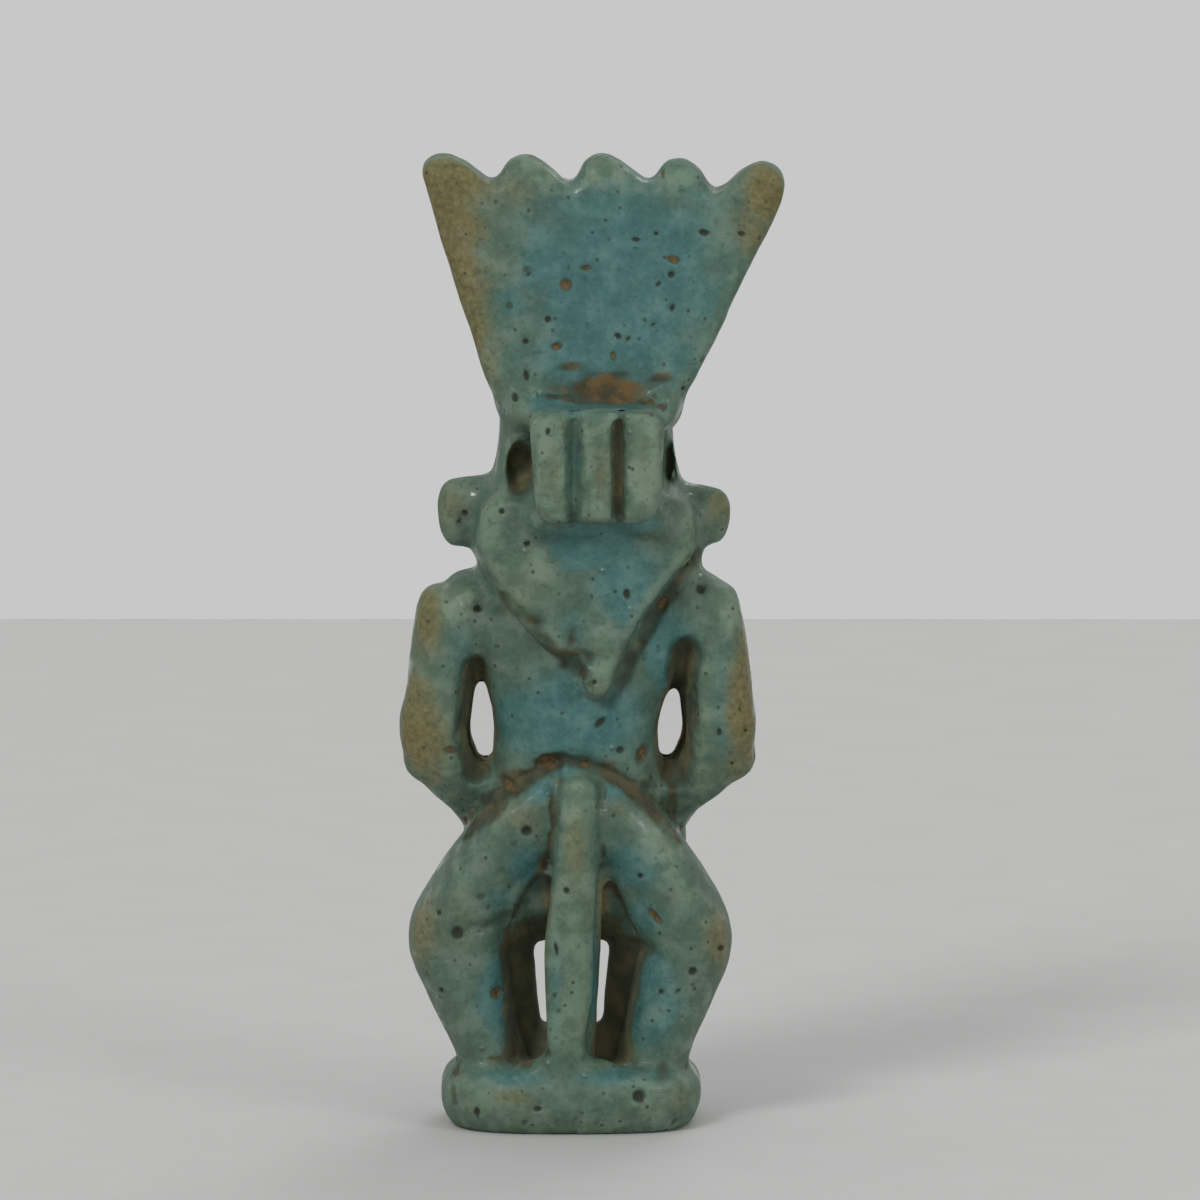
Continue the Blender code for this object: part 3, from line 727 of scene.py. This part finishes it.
normals = normals_of(figure.data)
edges = edges_of(figure.data)
bend = np.linalg.norm(normals - neighbour_mean(normals, edges), axis=1)[:, None]
for _ in range(3):
    bend = neighbour_mean(bend, edges)
rear = seen_from_behind(skin, normals) > 0.3
front = seen_from_behind(skin, normals, 0.9, -1.0) > 0.3
near_back, near_front = (
    np.min([to_line(skin[:, (0, 2)], line) / width for line, width, *_ in lines.values()], 0)
    for lines in (CARVED, FRONT)
)
bend = bend[:, 0] * (1.0 + rear)
bent = bend > np.percentile(bend, BENT_SHARE)
refine(figure.data, bent | (rear & (near_back < 1.0)) | (front & (near_front < 0.9)))
skin, edges = points_of(figure.data), edges_of(figure.data)
skin = wipe(skin, edges, 3)
set_points(figure.data, skin)
normals = normals_of(figure.data)
sink = carve(skin, normals)[0] + hollow_mouths(skin, normals)
front_sink = carve_front(skin, normals)[0]
skin[:, 1] += swell(skin, normals) - sink + front_sink
skin = wipe(skin, edges, 2)
set_points(figure.data, skin)
print("after refining", triangle_count(figure.data), "triangles")
print("carved points:", int((sink > 0.02).sum()), "deepest", round(float(sink.max()), 2), "mm")

# %% [markdown]
# ## Pits and beads
# Bubbles in the paste burst at the surface as it was fired, and grains fell out later. The larger
# pits are set down one by one, as a place on the back, a half length, and for an oval one a half
# width and a tilt from upright. Some show bare paste gone rusty, others hold dark earth. The beads
# are specks of glass that stand up on the ridges and catch the light. Scattered pits would be
# quicker, but each of these can be found on the real piece.

# %% Pits and beads
RUSTY = [
    (0.20, 34.45, 0.27, 0.25, 0), (-0.60, 35.14, 0.28, 0.13, 90), (-4.10, 35.46, 0.32, 0.19, 75),
    (0.56, 31.98, 0.26, 0.19, 90), (-1.69, 31.62, 0.24, 0.13, 10), (-3.72, 21.38, 0.30, 0.17, -27),
    (-2.90, 15.22, 0.46, 0.28, -23), (-0.56, 14.87, 0.26, 0.15, 90), (4.84, 15.42, 0.30, 0.17, 80),
    (0.97, 14.95, 0.55, 0.36, 90), (2.54, 14.0, 0.50, 0.28, 60), (2.99, 5.53, 0.27, 0.25, 0),
    (-3.35, 8.72, 0.48, 0.17, 38), (4.64, 2.36, 0.28, 0.16, 0), (-4.80, 2.44, 0.24, 0.14, 90),
]
DARK = [
    (1.73, 34.86, 0.12), (-2.60, 36.27, 0.21, 0.10, 80), (-3.42, 36.51, 0.11), (-5.34, 36.55, 0.28, 0.15, 75),
    (-6.83, 36.51, 0.18, 0.12, 80), (-4.02, 34.86, 0.15), (-3.5, 34.53, 0.10),
    (-4.06, 33.52, 0.20, 0.11, -20), (0.92, 33.07, 0.15), (-1.89, 32.39, 0.18, 0.14, 60),
    (-2.29, 32.35, 0.11), (-0.84, 32.02, 0.07),
    (1.81, 32.18, 0.14), (-3.34, 32.87, 0.09), (1.77, 30.81, 0.28, 0.11, 8), (2.25, 30.0, 0.16),
    (-4.5, 30.28, 0.09), (0.92, 28.89, 0.20, 0.13, -20), (0.8, 28.24, 0.09), (4.27, 25.02, 0.15),
    (4.51, 24.74, 0.11), (-2.25, 22.01, 0.24, 0.16, 8), (1.77, 24.08, 0.15), (2.78, 25.38, 0.13),
    (-5.23, 21.97, 0.20), (3.74, 21.16, 0.18), (-3.54, 19.45, 0.10), (-0.93, 18.44, 0.12),
    (-1.17, 16.6, 0.34, 0.17, -45), (-1.98, 15.46, 0.17), (-5.97, 16.2, 0.20, 0.11, 0), (-7.06, 16.2, 0.09),
    (-6.49, 14.85, 0.09), (1.77, 12.26, 0.24), (0.2, 10.0, 0.15), (4.56, 8.06, 0.30), (3.31, 9.04, 0.12),
    (5.33, 8.88, 0.11), (5.25, 5.65, 0.13), (0.2, 6.39, 0.10), (0.48, 5.16, 0.11), (0.65, 5.69, 0.08),
    (-2.78, 10.39, 0.14), (-4.92, 6.47, 0.20), (-6.05, 7.33, 0.14), (-5.45, 8.59, 0.08), (-1.73, 12.95, 0.12),
    (-3.63, 5.65, 0.11), (-4.32, 5.73, 0.09), (3.8, 0.92, 0.22, 0.14, 0), (1.33, 1.13, 0.20, 0.12, 90),
    (-2.75, 1.62, 0.30), (0.6, 7.6, 0.3, 0.09, 10),
]
BEADS = [
    (1.45, 30.09), (0.0, 29.76), (-0.56, 29.4), (-0.64, 28.79), (-2.29, 29.48), (-2.37, 28.87), (-3.9, 29.92),
    (1.4, 29.2), (-4.79, 25.68), (-4.5, 25.9), (-1.65, 15.58), (0.97, 13.79), (0.97, 13.34), (-1.33, 13.14),
    (-0.77, 19.0), (-2.37, 21.42), (1.85, 23.77), (-1.29, 22.96), (-5.19, 22.43), (3.6, 3.34), (0.93, 2.93),
    (-0.57, 2.44), (3.3, 24.4), (0.1, 21.5),
]
print(len(RUSTY), "rusty pits,", len(DARK), "dark ones and", len(BEADS), "beads")

# %% [markdown]
# ## Pressing the pits in
# Each pit is a bowl with steep, ragged sides. The mesh is made finer round pits and beads twice, so
# that a pit a quarter of a millimetre wide has a shape.

# %% Pressing the pits in
RUSTY_SEED, RUSTY_DEEP = 11, 0.5
DARK_SEED, DARK_DEEP = 12, 0.7
BEAD_WIDE, BEAD_NEAR = 0.15, 0.2
PITTED_SHARES = (0.03, 0.12)
DIRT_AND_SHADE_SLACK = 1.7


def bowls(points, pits, seed, deep):
    """Depth (a share, deep, of the half width) and darkness of oval pits, their sides steep and ragged."""
    ragged = 1.0 + 0.15 * cloud(points, 0.22, seed)
    sink, inside = np.zeros(len(points)), np.zeros(len(points))
    for x, z, long, *rest in pits:
        short, tilt = rest or (long, 0.0)
        east, north = math.sin(math.radians(tilt)), math.cos(math.radians(tilt))
        dx, dz = points[:, 0] - x, points[:, 2] - z
        distance = np.hypot((dx * east + dz * north) / long, (dx * north - dz * east) / short) * ragged
        sink = np.maximum(sink, deep * short * rise(distance, 1.25, 0.3))
        inside = np.maximum(inside, rise(distance, 1.45, 0.2))
    return sink, inside


def bead_bells(points, radius):
    return sum(bell(np.hypot(points[:, 0] - x, points[:, 2] - z), radius) for x, z in BEADS)


for least in PITTED_SHARES:
    normals = normals_of(figure.data)
    pitted = np.max([bowls(skin, pits, RUSTY_SEED, 1.0)[1] for pits in (RUSTY, DARK)], 0)
    pitted = np.maximum(pitted, bead_bells(skin, BEAD_NEAR)) * seen_from_behind(skin, normals)
    refine(figure.data, neighbour_mean(pitted[:, None], edges)[:, 0] > least)
    skin, edges = points_of(figure.data), edges_of(figure.data)
normals = normals_of(figure.data)
rear = seen_from_behind(skin, normals)
dirt_and_shade = np.maximum(carve(skin, normals, DIRT_AND_SHADE_SLACK)[1], carve_front(skin, normals)[1])
rust_sink, rust = bowls(skin, RUSTY, RUSTY_SEED, RUSTY_DEEP)
dark_sink, dark = bowls(skin, DARK, DARK_SEED, DARK_DEEP)
rust, dark = rust * rear, dark * rear
beads = bead_bells(skin, BEAD_WIDE) * rear
print("the finished skin has", triangle_count(figure.data), "triangles")

# %% [markdown]
# ## Wear
# Over the loop the glaze has come away in one torn patch. The rest of the surface only wavers: three
# sizes of smooth noise push it in and out along its normals, less than a tenth of a millimetre, and
# on the crown faint streaks follow the strokes that smoothed the paste.

# %% Wear
PATCH_X, PATCH_Z, PATCH_WIDE, PATCH_HIGH, PATCH_DEEP = -1.3, 30.2, 2.5, 0.9, 0.14
LOOP_TOP_Z = 29.62
BEAD_HIGH = 0.08

over_loop = rear * (skin[:, 2] > LOOP_TOP_Z)
torn = 1.0 + 0.28 * cloud(skin, (0.9, 0.9, 0.25), 26) + 0.16 * cloud(skin, 0.3, 27)
patch = np.hypot((skin[:, 0] - PATCH_X) / PATCH_WIDE, (skin[:, 2] - PATCH_Z) / PATCH_HIGH)
patch = bell(patch * torn, 1.0) * over_loop
waver = 0.035 * cloud(skin, 1.9, 21) + 0.018 * cloud(skin, 0.7, 22) + 0.008 * cloud(skin, 0.3, 23)
streaks = 0.007 * cloud(skin, (1.6, 9.0, 0.2), 24) * rise(skin[:, 2], 30.5, 31.5) * rear
pits = np.maximum(rust_sink, dark_sink) * rear
push = waver + streaks + BEAD_HIGH * beads - pits - PATCH_DEEP * patch
skin = skin + normals * push[:, None]
set_points(figure.data, skin)
print("the surface wavers by up to", round(float(np.abs(waver).max()), 3), "mm")

# %% [markdown]
# ## How full the paste is round a point
# Dirt stays in hollows and glaze wears off ridges, so the skin needs to know which is which. Round
# each point, how much of a small ball is filled with paste: half on a flat face, more in a crease,
# less on a ridge. The faces' normals are dropped into a grid of cells, and a Fourier transform turns
# that field into the filled share, blurred to the ball's size. Casting rays into the mesh would give
# much the same, but far more slowly.

# %% Filled share
BALLS = (0.15, 0.32, 0.8)


def cell_corners(where, low, cell, shape):
    """The eight cells round each place, with the share of each."""
    spot = (where - low) / cell
    base = np.floor(spot).astype(int)
    part = spot - base
    for corner in np.ndindex(2, 2, 2):
        index = np.ravel_multi_index((base + corner).T, shape)
        yield index, np.prod(np.where(corner, part, 1.0 - part), 1)


def filled_fields(mesh, radii, cell=0.2):
    """The filled share on a grid of cells, one for each radius: its gradient is -normal * area."""
    count = len(mesh.polygons)
    centre, normal, area = np.empty(count * 3), np.empty(count * 3), np.empty(count)
    mesh.polygons.foreach_get("center", centre)
    mesh.polygons.foreach_get("normal", normal)
    mesh.polygons.foreach_get("area", area)
    centre = centre.reshape(-1, 3) / MM
    weight = -normal.reshape(-1, 3) * (area[:, None] / MM**2)
    low = centre.min(0) - 6.0
    shape = np.ceil((centre.max(0) + 6.0 - low) / cell).astype(int)
    field = np.zeros((3, int(np.prod(shape))))
    for index, share in cell_corners(centre, low, cell, shape):
        for axis in range(3):
            field[axis] += np.bincount(index, weight[:, axis] * share, field.shape[1])
    waves = [2 * math.pi * np.fft.fftfreq(n, cell) for n in shape[:2]]
    waves.append(2 * math.pi * np.fft.rfftfreq(shape[2], cell))
    kx, ky, kz = np.meshgrid(*waves, indexing="ij", sparse=True)
    square = kx**2 + ky**2 + kz**2
    square[0, 0, 0] = 1.0
    flow = [np.fft.rfftn(part.reshape(shape)) / cell**3 for part in field]
    raw = -1j * (kx * flow[0] + ky * flow[1] + kz * flow[2]) / square
    raw[0, 0, 0] = 0.0
    grids = []
    for radius in radii:
        share = np.fft.irfftn(raw * np.exp(-square * radius**2 / 2), shape, axes=(0, 1, 2))
        grids.append((share - share[0, 0, 0]).ravel())
    return grids, low, cell, shape


grids, *lattice = filled_fields(figure.data, BALLS)
fine, middle = (sum(grid[i] * s for i, s in cell_corners(skin, *lattice)) for grid in grids[1:])
print("filled share: from", round(float(fine.min()), 2), "on a ridge to", round(float(fine.max()), 2))

# %% [markdown]
# ## How open a point is
# The same grid tells how much of the sky a point sees. From each point, steps are taken in many
# directions at once, and a direction counts only if it meets no paste. The closed places, inside the
# arms and between the legs, are where hands never rubbed the dirt away.


# %% Openness
def openness(points, normals, grid, low, cell, shape, reach=4.5, ways=40):
    """Share of the directions above the surface that meet no paste, weighted by their cosine."""
    turn = np.arange(ways) * math.pi * (3.0 - math.sqrt(5.0))
    high = 1.0 - 2.0 * (np.arange(ways) + 0.5) / ways
    across = np.sqrt(1.0 - high**2)
    directions = np.stack((across * np.cos(turn), across * np.sin(turn), high), 1)
    start = points + normals * 0.22
    clear, total = np.zeros(len(points)), np.zeros(len(points))
    for way in directions:
        weight = np.clip(normals @ way, 0.0, 1.0)
        free = np.ones(len(points), bool)
        for step in np.geomspace(0.3, reach, 10):
            spot = np.clip(((start + way * step - low) / cell).astype(int), 0, shape - 1)
            free &= grid[np.ravel_multi_index(spot.T, shape)] < 0.5
        clear += weight * free
        total += weight
    return clear / total


normals = normals_of(figure.data)
clear = openness(skin, normals, grids[0], *lattice)
clear = neighbour_mean(clear[:, None], edges)[:, 0]
print("open share: lowest", round(float(clear.min()), 2), "middle", round(float(np.median(clear)), 2))

# %% [markdown]
# ## Where the finish changes
# The glaze pooled blue on the flats of the back, is pale where it was rubbed on the ribs and limbs,
# and turned olive where it is thin, at the outer plumes, the ears and the arms' outer edges. Smears
# of earth lie over all of it, and two thin ones just under the loop are painted shade from its
# overhang. Each is a list of soft oval daubs: a place, a half width, a half height and a strength.
# Painting on a picture would do the same, but these follow the shape.

# %% Daubs
POOLS = [
    (-2.2, 34.3, 5.2, 5.4, 1.0), (-0.9, 24.0, 2.4, 1.4, 1.0), (-2.2, 22.2, 2.0, 2.2, 0.9),
    (-0.2, 20.6, 1.1, 1.2, 0.5), (-0.3, 16.8, 3.9, 2.5, 1.0), (-3.9, 19.4, 1.3, 2.6, 0.9),
    (1.7, 10.8, 1.2, 1.2, 0.75), (2.8, 9.4, 0.8, 0.8, 0.5), (-2.6, 10.9, 1.6, 1.4, 0.75),
    (-2.9, 8.6, 1.2, 1.2, 0.6), (2.8, 5.4, 1.1, 2.5, 0.9), (-3.3, 5.2, 1.5, 2.6, 0.9),
    (-1.6, 37.6, 2.6, 1.8, 0.7), (-0.6, 31.6, 3.4, 1.6, 0.9), (-1.9, 2.3, 2.0, 0.5, 0.7),
    (2.6, 2.3, 1.7, 0.5, 0.6), (-0.6, 29.75, 2.8, 0.45, 1.0), (0.2, 14.8, 0.8, 0.6, 0.9),
    (1.2, 14.0, 0.8, 0.6, 0.8), (-1.9, 14.0, 0.7, 0.6, 0.8), (-6.2, 17.0, 0.6, 3.6, 0.5),
    (4.4, 19.4, 0.8, 1.6, 0.4), (-0.1, 27.4, 0.40, 2.6, 0.35), (-2.9, 25.0, 1.0, 0.5, 0.9),
    (0.6, 6.0, 0.3, 3.0, 0.8), (-0.9, 6.0, 0.25, 3.0, 0.8),
]
OLIVES = [
    (5.0, 38.4, 2.8, 1.9, 1.0), (5.0, 36.7, 2.3, 2.0, 1.0), (4.7, 34.9, 1.7, 2.1, 1.0),
    (4.0, 32.5, 1.0, 2.2, 0.85), (2.3, 38.2, 1.5, 1.0, 0.4), (-8.0, 38.2, 1.5, 1.8, 1.0),
    (-7.3, 36.7, 1.3, 2.0, 0.6), (4.9, 25.3, 1.2, 1.3, 0.45), (-6.2, 25.4, 1.0, 1.4, 0.6),
    (5.8, 20.8, 1.1, 2.5, 0.8), (6.2, 16.2, 1.5, 3.2, 0.85), (-7.1, 17.3, 1.1, 4.0, 0.95),
    (-6.7, 14.8, 1.2, 1.5, 0.6), (6.1, 8.0, 1.0, 2.3, 0.6), (-6.1, 7.8, 1.0, 2.4, 0.65),
    (-0.2, 11.7, 0.75, 2.4, 0.5), (1.9, 12.7, 1.2, 0.9, 0.45), (-1.9, 13.1, 0.7, 0.5, 0.4),
    (2.3, 1.6, 1.3, 0.7, 0.5), (-4.4, 1.3, 0.7, 0.9, 0.4), (0.7, 27.2, 0.45, 1.7, 0.35),
    (-1.2, 27.2, 0.45, 1.7, 0.45), (2.1, 21.9, 1.2, 1.2, 0.3), (-2.9, 27.2, 0.5, 1.6, 0.25),
    (4.6, 8.5, 1.2, 2.0, 0.25), (0.95, 9.4, 0.3, 1.2, 0.9), (-1.3, 8.8, 0.4, 1.9, 1.0),
    (3.4, 31.2, 0.9, 1.9, 0.5), (-4.6, 33.0, 0.8, 2.2, 0.2), (3.2, 30.0, 0.5, 1.6, 0.35),
]
PALES = [
    (1.6, 22.6, 1.5, 1.9, 0.8), (0.8, 27.3, 0.75, 2.2, 0.8), (-1.05, 27.3, 0.6, 2.2, 0.55),
    (-2.95, 27.5, 0.8, 2.2, 0.95), (-1.5, 38.6, 4.2, 0.8, 0.45), (-6.0, 35.4, 0.9, 2.6, 0.45),
    (-3.5, 11.7, 1.3, 1.2, 0.9), (4.9, 21.2, 1.4, 1.1, 1.0), (-6.3, 20.8, 1.0, 0.8, 0.55),
    (-0.98, 18.2, 0.75, 0.9, 1.0), (3.3, 34.0, 0.9, 3.0, 0.4), (-1.0, 20.4, 0.9, 1.4, 0.6),
    (-3.2, 21.6, 0.6, 1.6, 0.45), (-0.3, 13.0, 0.7, 1.6, 0.6), (5.6, 17.2, 0.9, 3.0, 0.4),
    (4.7, 25.2, 0.8, 0.9, 0.4), (-0.6, 28.9, 2.6, 0.9, 0.35), (3.2, 31.2, 0.9, 2.2, 0.5),
    (-3.6, 31.0, 0.6, 1.2, 0.3),
]
SMEARS_AND_SHADE = [
    (-1.4, 30.25, 3.0, 0.62, 0.70), (-0.1, 31.2, 1.2, 0.24, 0.62), (-1.4, 30.9, 1.6, 0.26, 0.60),
    (-3.6, 30.75, 0.8, 0.26, 0.70), (1.85, 30.9, 0.15, 0.5, 0.55), (2.2, 30.1, 0.3, 0.3, 0.40),
    (3.55, 17.0, 0.28, 1.9, 0.45), (-4.1, 13.5, 0.32, 1.5, 0.80), (4.4, 13.6, 1.0, 1.0, 0.36),
    (-3.68, 2.5, 0.5, 0.8, 0.55), (2.45, 38.9, 0.11, 0.30, 0.5), (-0.55, 38.95, 0.13, 0.36, 0.5),
    (-3.7, 38.9, 0.13, 0.36, 0.6), (-5.8, 38.4, 0.12, 0.3, 0.6), (4.9, 36.6, 0.25, 1.8, 0.28),
    (3.9, 32.0, 0.4, 0.9, 0.30), (-7.9, 38.0, 0.5, 0.7, 0.32), (5.6, 21.0, 0.3, 0.8, 0.30),
    (2.9, 21.3, 0.9, 0.45, 0.28), (0.2, 19.0, 0.6, 0.4, 0.5), (1.72, 26.8, 0.42, 1.0, 0.80),
    (-3.98, 27.0, 0.42, 1.3, 0.95), (-0.12, 25.6, 0.35, 0.7, 0.35), (0.0, 20.1, 0.3, 0.4, 0.5),
    (-2.0, 28.4, 0.30, 0.40, 0.75), (3.2, 13.3, 0.9, 0.45, 0.75), (2.0, 14.4, 0.9, 0.40, 0.70),
    (0.7, 15.1, 0.8, 0.40, 0.75), (-2.9, 13.9, 0.9, 0.45, 0.60), (-1.4, 14.9, 0.7, 0.35, 0.60),
    # The smears at (1.5, 24.2) and (-0.9, 24.45), just under the loop, are painted shade from its overhang.
    (1.6, 20.9, 0.8, 0.40, 0.62), (0.2, 19.5, 0.8, 0.50, 0.60), (1.5, 24.2, 0.5, 0.25, 0.2),
    (-0.9, 24.45, 1.2, 0.25, 0.3), (1.2, 3.4, 0.6, 0.4, 0.8), (-4.6, 19.6, 0.25, 0.5, 0.6),
]


def daubs(points, table, seed, soft):
    """Soft oval daubs, full out to soft of their reach, their rims shaken by noise."""
    shaken = 1.0 + 0.26 * cloud(points, 1.3, seed) + 0.14 * cloud(points, 0.5, seed + 1)
    total = np.zeros(len(points))
    for x, z, wide, high, strength in table:
        distance = np.hypot((points[:, 0] - x) / wide, (points[:, 2] - z) / high) * shaken
        total = np.maximum(total, strength * rise(distance, 1.25, soft))
    return total


print("daubs:", [len(table) for table in (POOLS, OLIVES, PALES, SMEARS_AND_SHADE)])

# %% [markdown]
# ## Kept on every point
# Earth lies wherever the skin is closed in, along the carved lines, in creases and in the smears,
# but not on the clean valley of the loop nor on one clean stretch above the left gap; just under the
# loop the same channel holds painted shade from the loop's overhang. Each finish becomes a number
# from 0 to 1 on every point, which the material reads by its name.

# %% Kept on every point
CLEAN_X, CLEAN_Z, CLEAN_WIDE, CLEAN_HIGH = 1.6, 9.2, 1.2, 1.6
LOOP_BACK_Y = 3.6


def keep(mesh, name, values):
    values = np.clip(values, 0.0, 1.0).astype(np.float32)
    mesh.attributes.new(name, "FLOAT", "POINT").data.foreach_set("value", values)
    print(name, "mean", round(float(values.mean()), 3))


ragged = 0.16 * cloud(skin, 0.6, 31) + 0.10 * cloud(skin, 0.25, 32)
closed = rise(clear + ragged * 0.4, 0.58, 0.28)
crease = rise(fine, 0.57, 0.72)
dirt_and_shade = np.maximum(dirt_and_shade, daubs(skin, SMEARS_AND_SHADE, 61, 0.1) * rear)
dirt_and_shade = dirt_and_shade * 1.1 + ragged * rise(dirt_and_shade, 0.05, 0.3)
soil_and_shade = np.maximum(np.maximum(closed, dirt_and_shade), 0.5 * crease + ragged * crease)
valley = bell(to_line(skin[:, (0, 2)], CARVED["loop_valley"][0]), 0.6) * rear * (skin[:, 1] > LOOP_BACK_Y)
above_gap = np.hypot((skin[:, 0] - CLEAN_X) / CLEAN_WIDE, (skin[:, 2] - CLEAN_Z) / CLEAN_HIGH)
clean = np.maximum(0.8 * valley, 0.7 * bell(above_gap, 1.0) * rear)
blotches = cloud(skin, 1.7, 53) + 0.4 * cloud(skin, 0.6, 54)
blotchy = np.clip(rear + 0.75 * rise(blotches, -0.2, 0.7), 0.0, 1.0)
keep(figure.data, "earth_and_shade", soil_and_shade * (1.0 - 0.5 * patch) * (1.0 - clean))
keep(figure.data, "deep", closed)
keep(figure.data, "worn", rise(middle + 0.05 * cloud(skin, 0.5, 33), 0.46, 0.30))
keep(figure.data, "pale", daubs(skin, PALES, 71, 0.3) * rear)
keep(figure.data, "pool", daubs(skin, POOLS, 41, 0.2))
keep(figure.data, "olive", daubs(skin, OLIVES, 51, 0.1) * blotchy)
keep(figure.data, "rust", rust)
keep(figure.data, "patch", patch)
keep(figure.data, "dark", dark)
keep(figure.data, "glass", beads)

# %% [markdown]
# ## The glaze
# Old glazed paste is dull blue-green. The colour is built up as it came about: first the body, then
# the pooled glaze, the pale rubbed places and ridges, and the olive stains. Noise of several sizes,
# from 3 mm down to a tenth of one, breaks up every border between two colours.

# %% The glaze
BROAD, MIDDLE, FINE, DUST = 330.0, 1100.0, 4200.0, 11000.0

glaze = new_material("glazed_paste")
place = Wire.node("ShaderNodeTexCoord", out=3)
broad_noise, mid_noise = speckle(place, BROAD), speckle(place, MIDDLE)
fine_noise, dust = speckle(place, FINE, 4.0, 0.6), speckle(place, DUST)

body = blend(paint(74, 97, 80), paint(90, 112, 95), mid_noise.step(0.35, 0.65))
pooled = blend(paint(57, 100, 98), paint(72, 116, 113), mid_noise.step(0.32, 0.68))
pool = (attribute("pool") + (broad_noise - 0.5) * 0.3).step(-0.05, 0.85)
colour = blend(body, pooled, pool)

pale = blend(paint(96, 116, 95), paint(118, 138, 118), mid_noise.step(0.38, 0.62))
worn = (attribute("worn") + (mid_noise - 0.5) * 0.6).step(0.25, 1.1)
rubbed = (attribute("pale") + (mid_noise - 0.5) * 0.5).step(0.0, 1.1)
colour = blend(colour, pale, (worn * 0.55 + rubbed * 0.75).clamped())

stain = blend(paint(98, 92, 56), paint(120, 109, 68), fine_noise.step(0.3, 0.7))
olive = (attribute("olive") + (mid_noise - 0.5) * 0.35).step(0.05, 0.9)
colour = blend(colour, stain, olive * 0.95)
print("nodes for the glaze:", len(glaze.node_tree.nodes))

# %% [markdown]
# ## Grain and specks
# Close up, the glaze has a grain of lighter and darker points, and fine dark specks where dirt sits
# in pinholes too small to carve. A Voronoi texture gives the distance to scattered points, so a speck
# is wherever that distance is small.

# %% Grain and specks
SPECKS, SPOTS = 1700.0, 620.0


def scattered(scale):
    """Distance to the nearest of many scattered points, that many cells to the metre."""
    sockets = {"Vector": place, "Scale": scale, "Randomness": 1.0}
    return Wire.node("ShaderNodeTexVoronoi", None, sockets)


colour = blend(colour, paint(118, 140, 124), fine_noise.step(0.52, 0.74) * 0.30)
colour = blend(colour, paint(48, 70, 62), fine_noise.step(0.47, 0.28) * 0.45)
specks = scattered(SPECKS).step(0.20, 0.08) * mid_noise.step(0.43, 0.55)
colour = blend(colour, paint(38, 46, 36), specks * 0.75)
spots = (scattered(SPOTS) + (fine_noise - 0.5) * 0.12).step(0.13, 0.06) * broad_noise.step(0.42, 0.55)
colour = blend(colour, paint(50, 60, 46), spots * 0.7)
print("nodes with the specks:", len(glaze.node_tree.nodes))

# %% [markdown]
# ## Earth, rust and the bare patch
# Earth goes over the glaze: dark brown in the lines, lighter deep inside the arms and legs, where the
# lamps hardly reach; the same dark brown just under the loop is painted shade from its overhang.
# Each rusty pit has a dark ring, and the bare patch is the paste itself, from brown to orange.

# %% Earth, rust and the bare patch
earth_and_shade = (attribute("earth_and_shade") + (fine_noise - 0.5) * 0.35).step(0.18, 0.74)
line_earth_and_shade_colour = blend(paint(54, 58, 44), paint(84, 76, 50), mid_noise.step(0.42, 0.64))
deep_colour = blend(paint(84, 86, 66), paint(112, 106, 74), mid_noise.step(0.4, 0.66))
colour = blend(colour, blend(line_earth_and_shade_colour, deep_colour, attribute("deep")), earth_and_shade * 0.9)

ring = (attribute("rust") + attribute("dark") + (fine_noise - 0.5) * 0.8).step(0.05, 0.8)
colour = blend(colour, paint(50, 56, 43), ring * 0.75)
rusty = (attribute("rust") + (fine_noise - 0.5) * 0.8).step(0.35, 0.9)
rust_colour = blend(paint(70, 62, 40), paint(108, 88, 54), fine_noise.step(0.35, 0.62))
colour = blend(colour, rust_colour, rusty * 0.9)

bald = (attribute("patch") + (fine_noise - 0.5) * 0.6 + (mid_noise - 0.5) * 0.5).step(0.12, 0.7)
paste = blend(paint(72, 66, 46), paint(112, 88, 52), mid_noise.step(0.38, 0.58))
colour = blend(colour, paste, bald * 0.94)
pit_dark = (attribute("dark") + (fine_noise - 0.5) * 0.8).step(0.35, 0.95)
colour = blend(colour, paint(44, 48, 38), pit_dark * 0.75)
print("nodes with the dirt:", len(glaze.node_tree.nodes))

# %% [markdown]
# ## Gloss
# Here and there a skin of glass is left that throws small sharp glints, and all on the beads. It is a
# clear coat in patches, which bare and rubbed places don't have. Grain finer than the mesh is a bump.

# %% Gloss
BUMP_DEEP = 0.08 * MM

bare = (earth_and_shade + ring + bald + worn * 0.9).clamped()
glossy = attribute("glass") + (1.0 - bare) * (0.05 + mid_noise.step(0.52, 0.68) * 0.7)
lumps = fine_noise * 0.6 + mid_noise * 1.2 + dust * 0.25
grainy = Wire.node("ShaderNodeBump", None, {"Strength": 0.6, "Distance": BUMP_DEEP, "Height": lumps})
glaze_sockets = {
    "Base Color": colour,
    "Roughness": 0.56 + bare * 0.3,
    "Normal": grainy,
    "Specular IOR Level": 0.35,
    "Coat Weight": glossy.clamped(),
    "Coat Roughness": 0.11,
}
finish_material(Wire.node("ShaderNodeBsdfPrincipled", None, glaze_sockets))
figure.data.materials.append(glaze)
figure.data.shade_smooth()
print("the finished glaze has", len(glaze.node_tree.nodes), "nodes")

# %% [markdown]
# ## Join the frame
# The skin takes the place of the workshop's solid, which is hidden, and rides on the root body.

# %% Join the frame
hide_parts("amulet_figure")
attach(figure, "root")
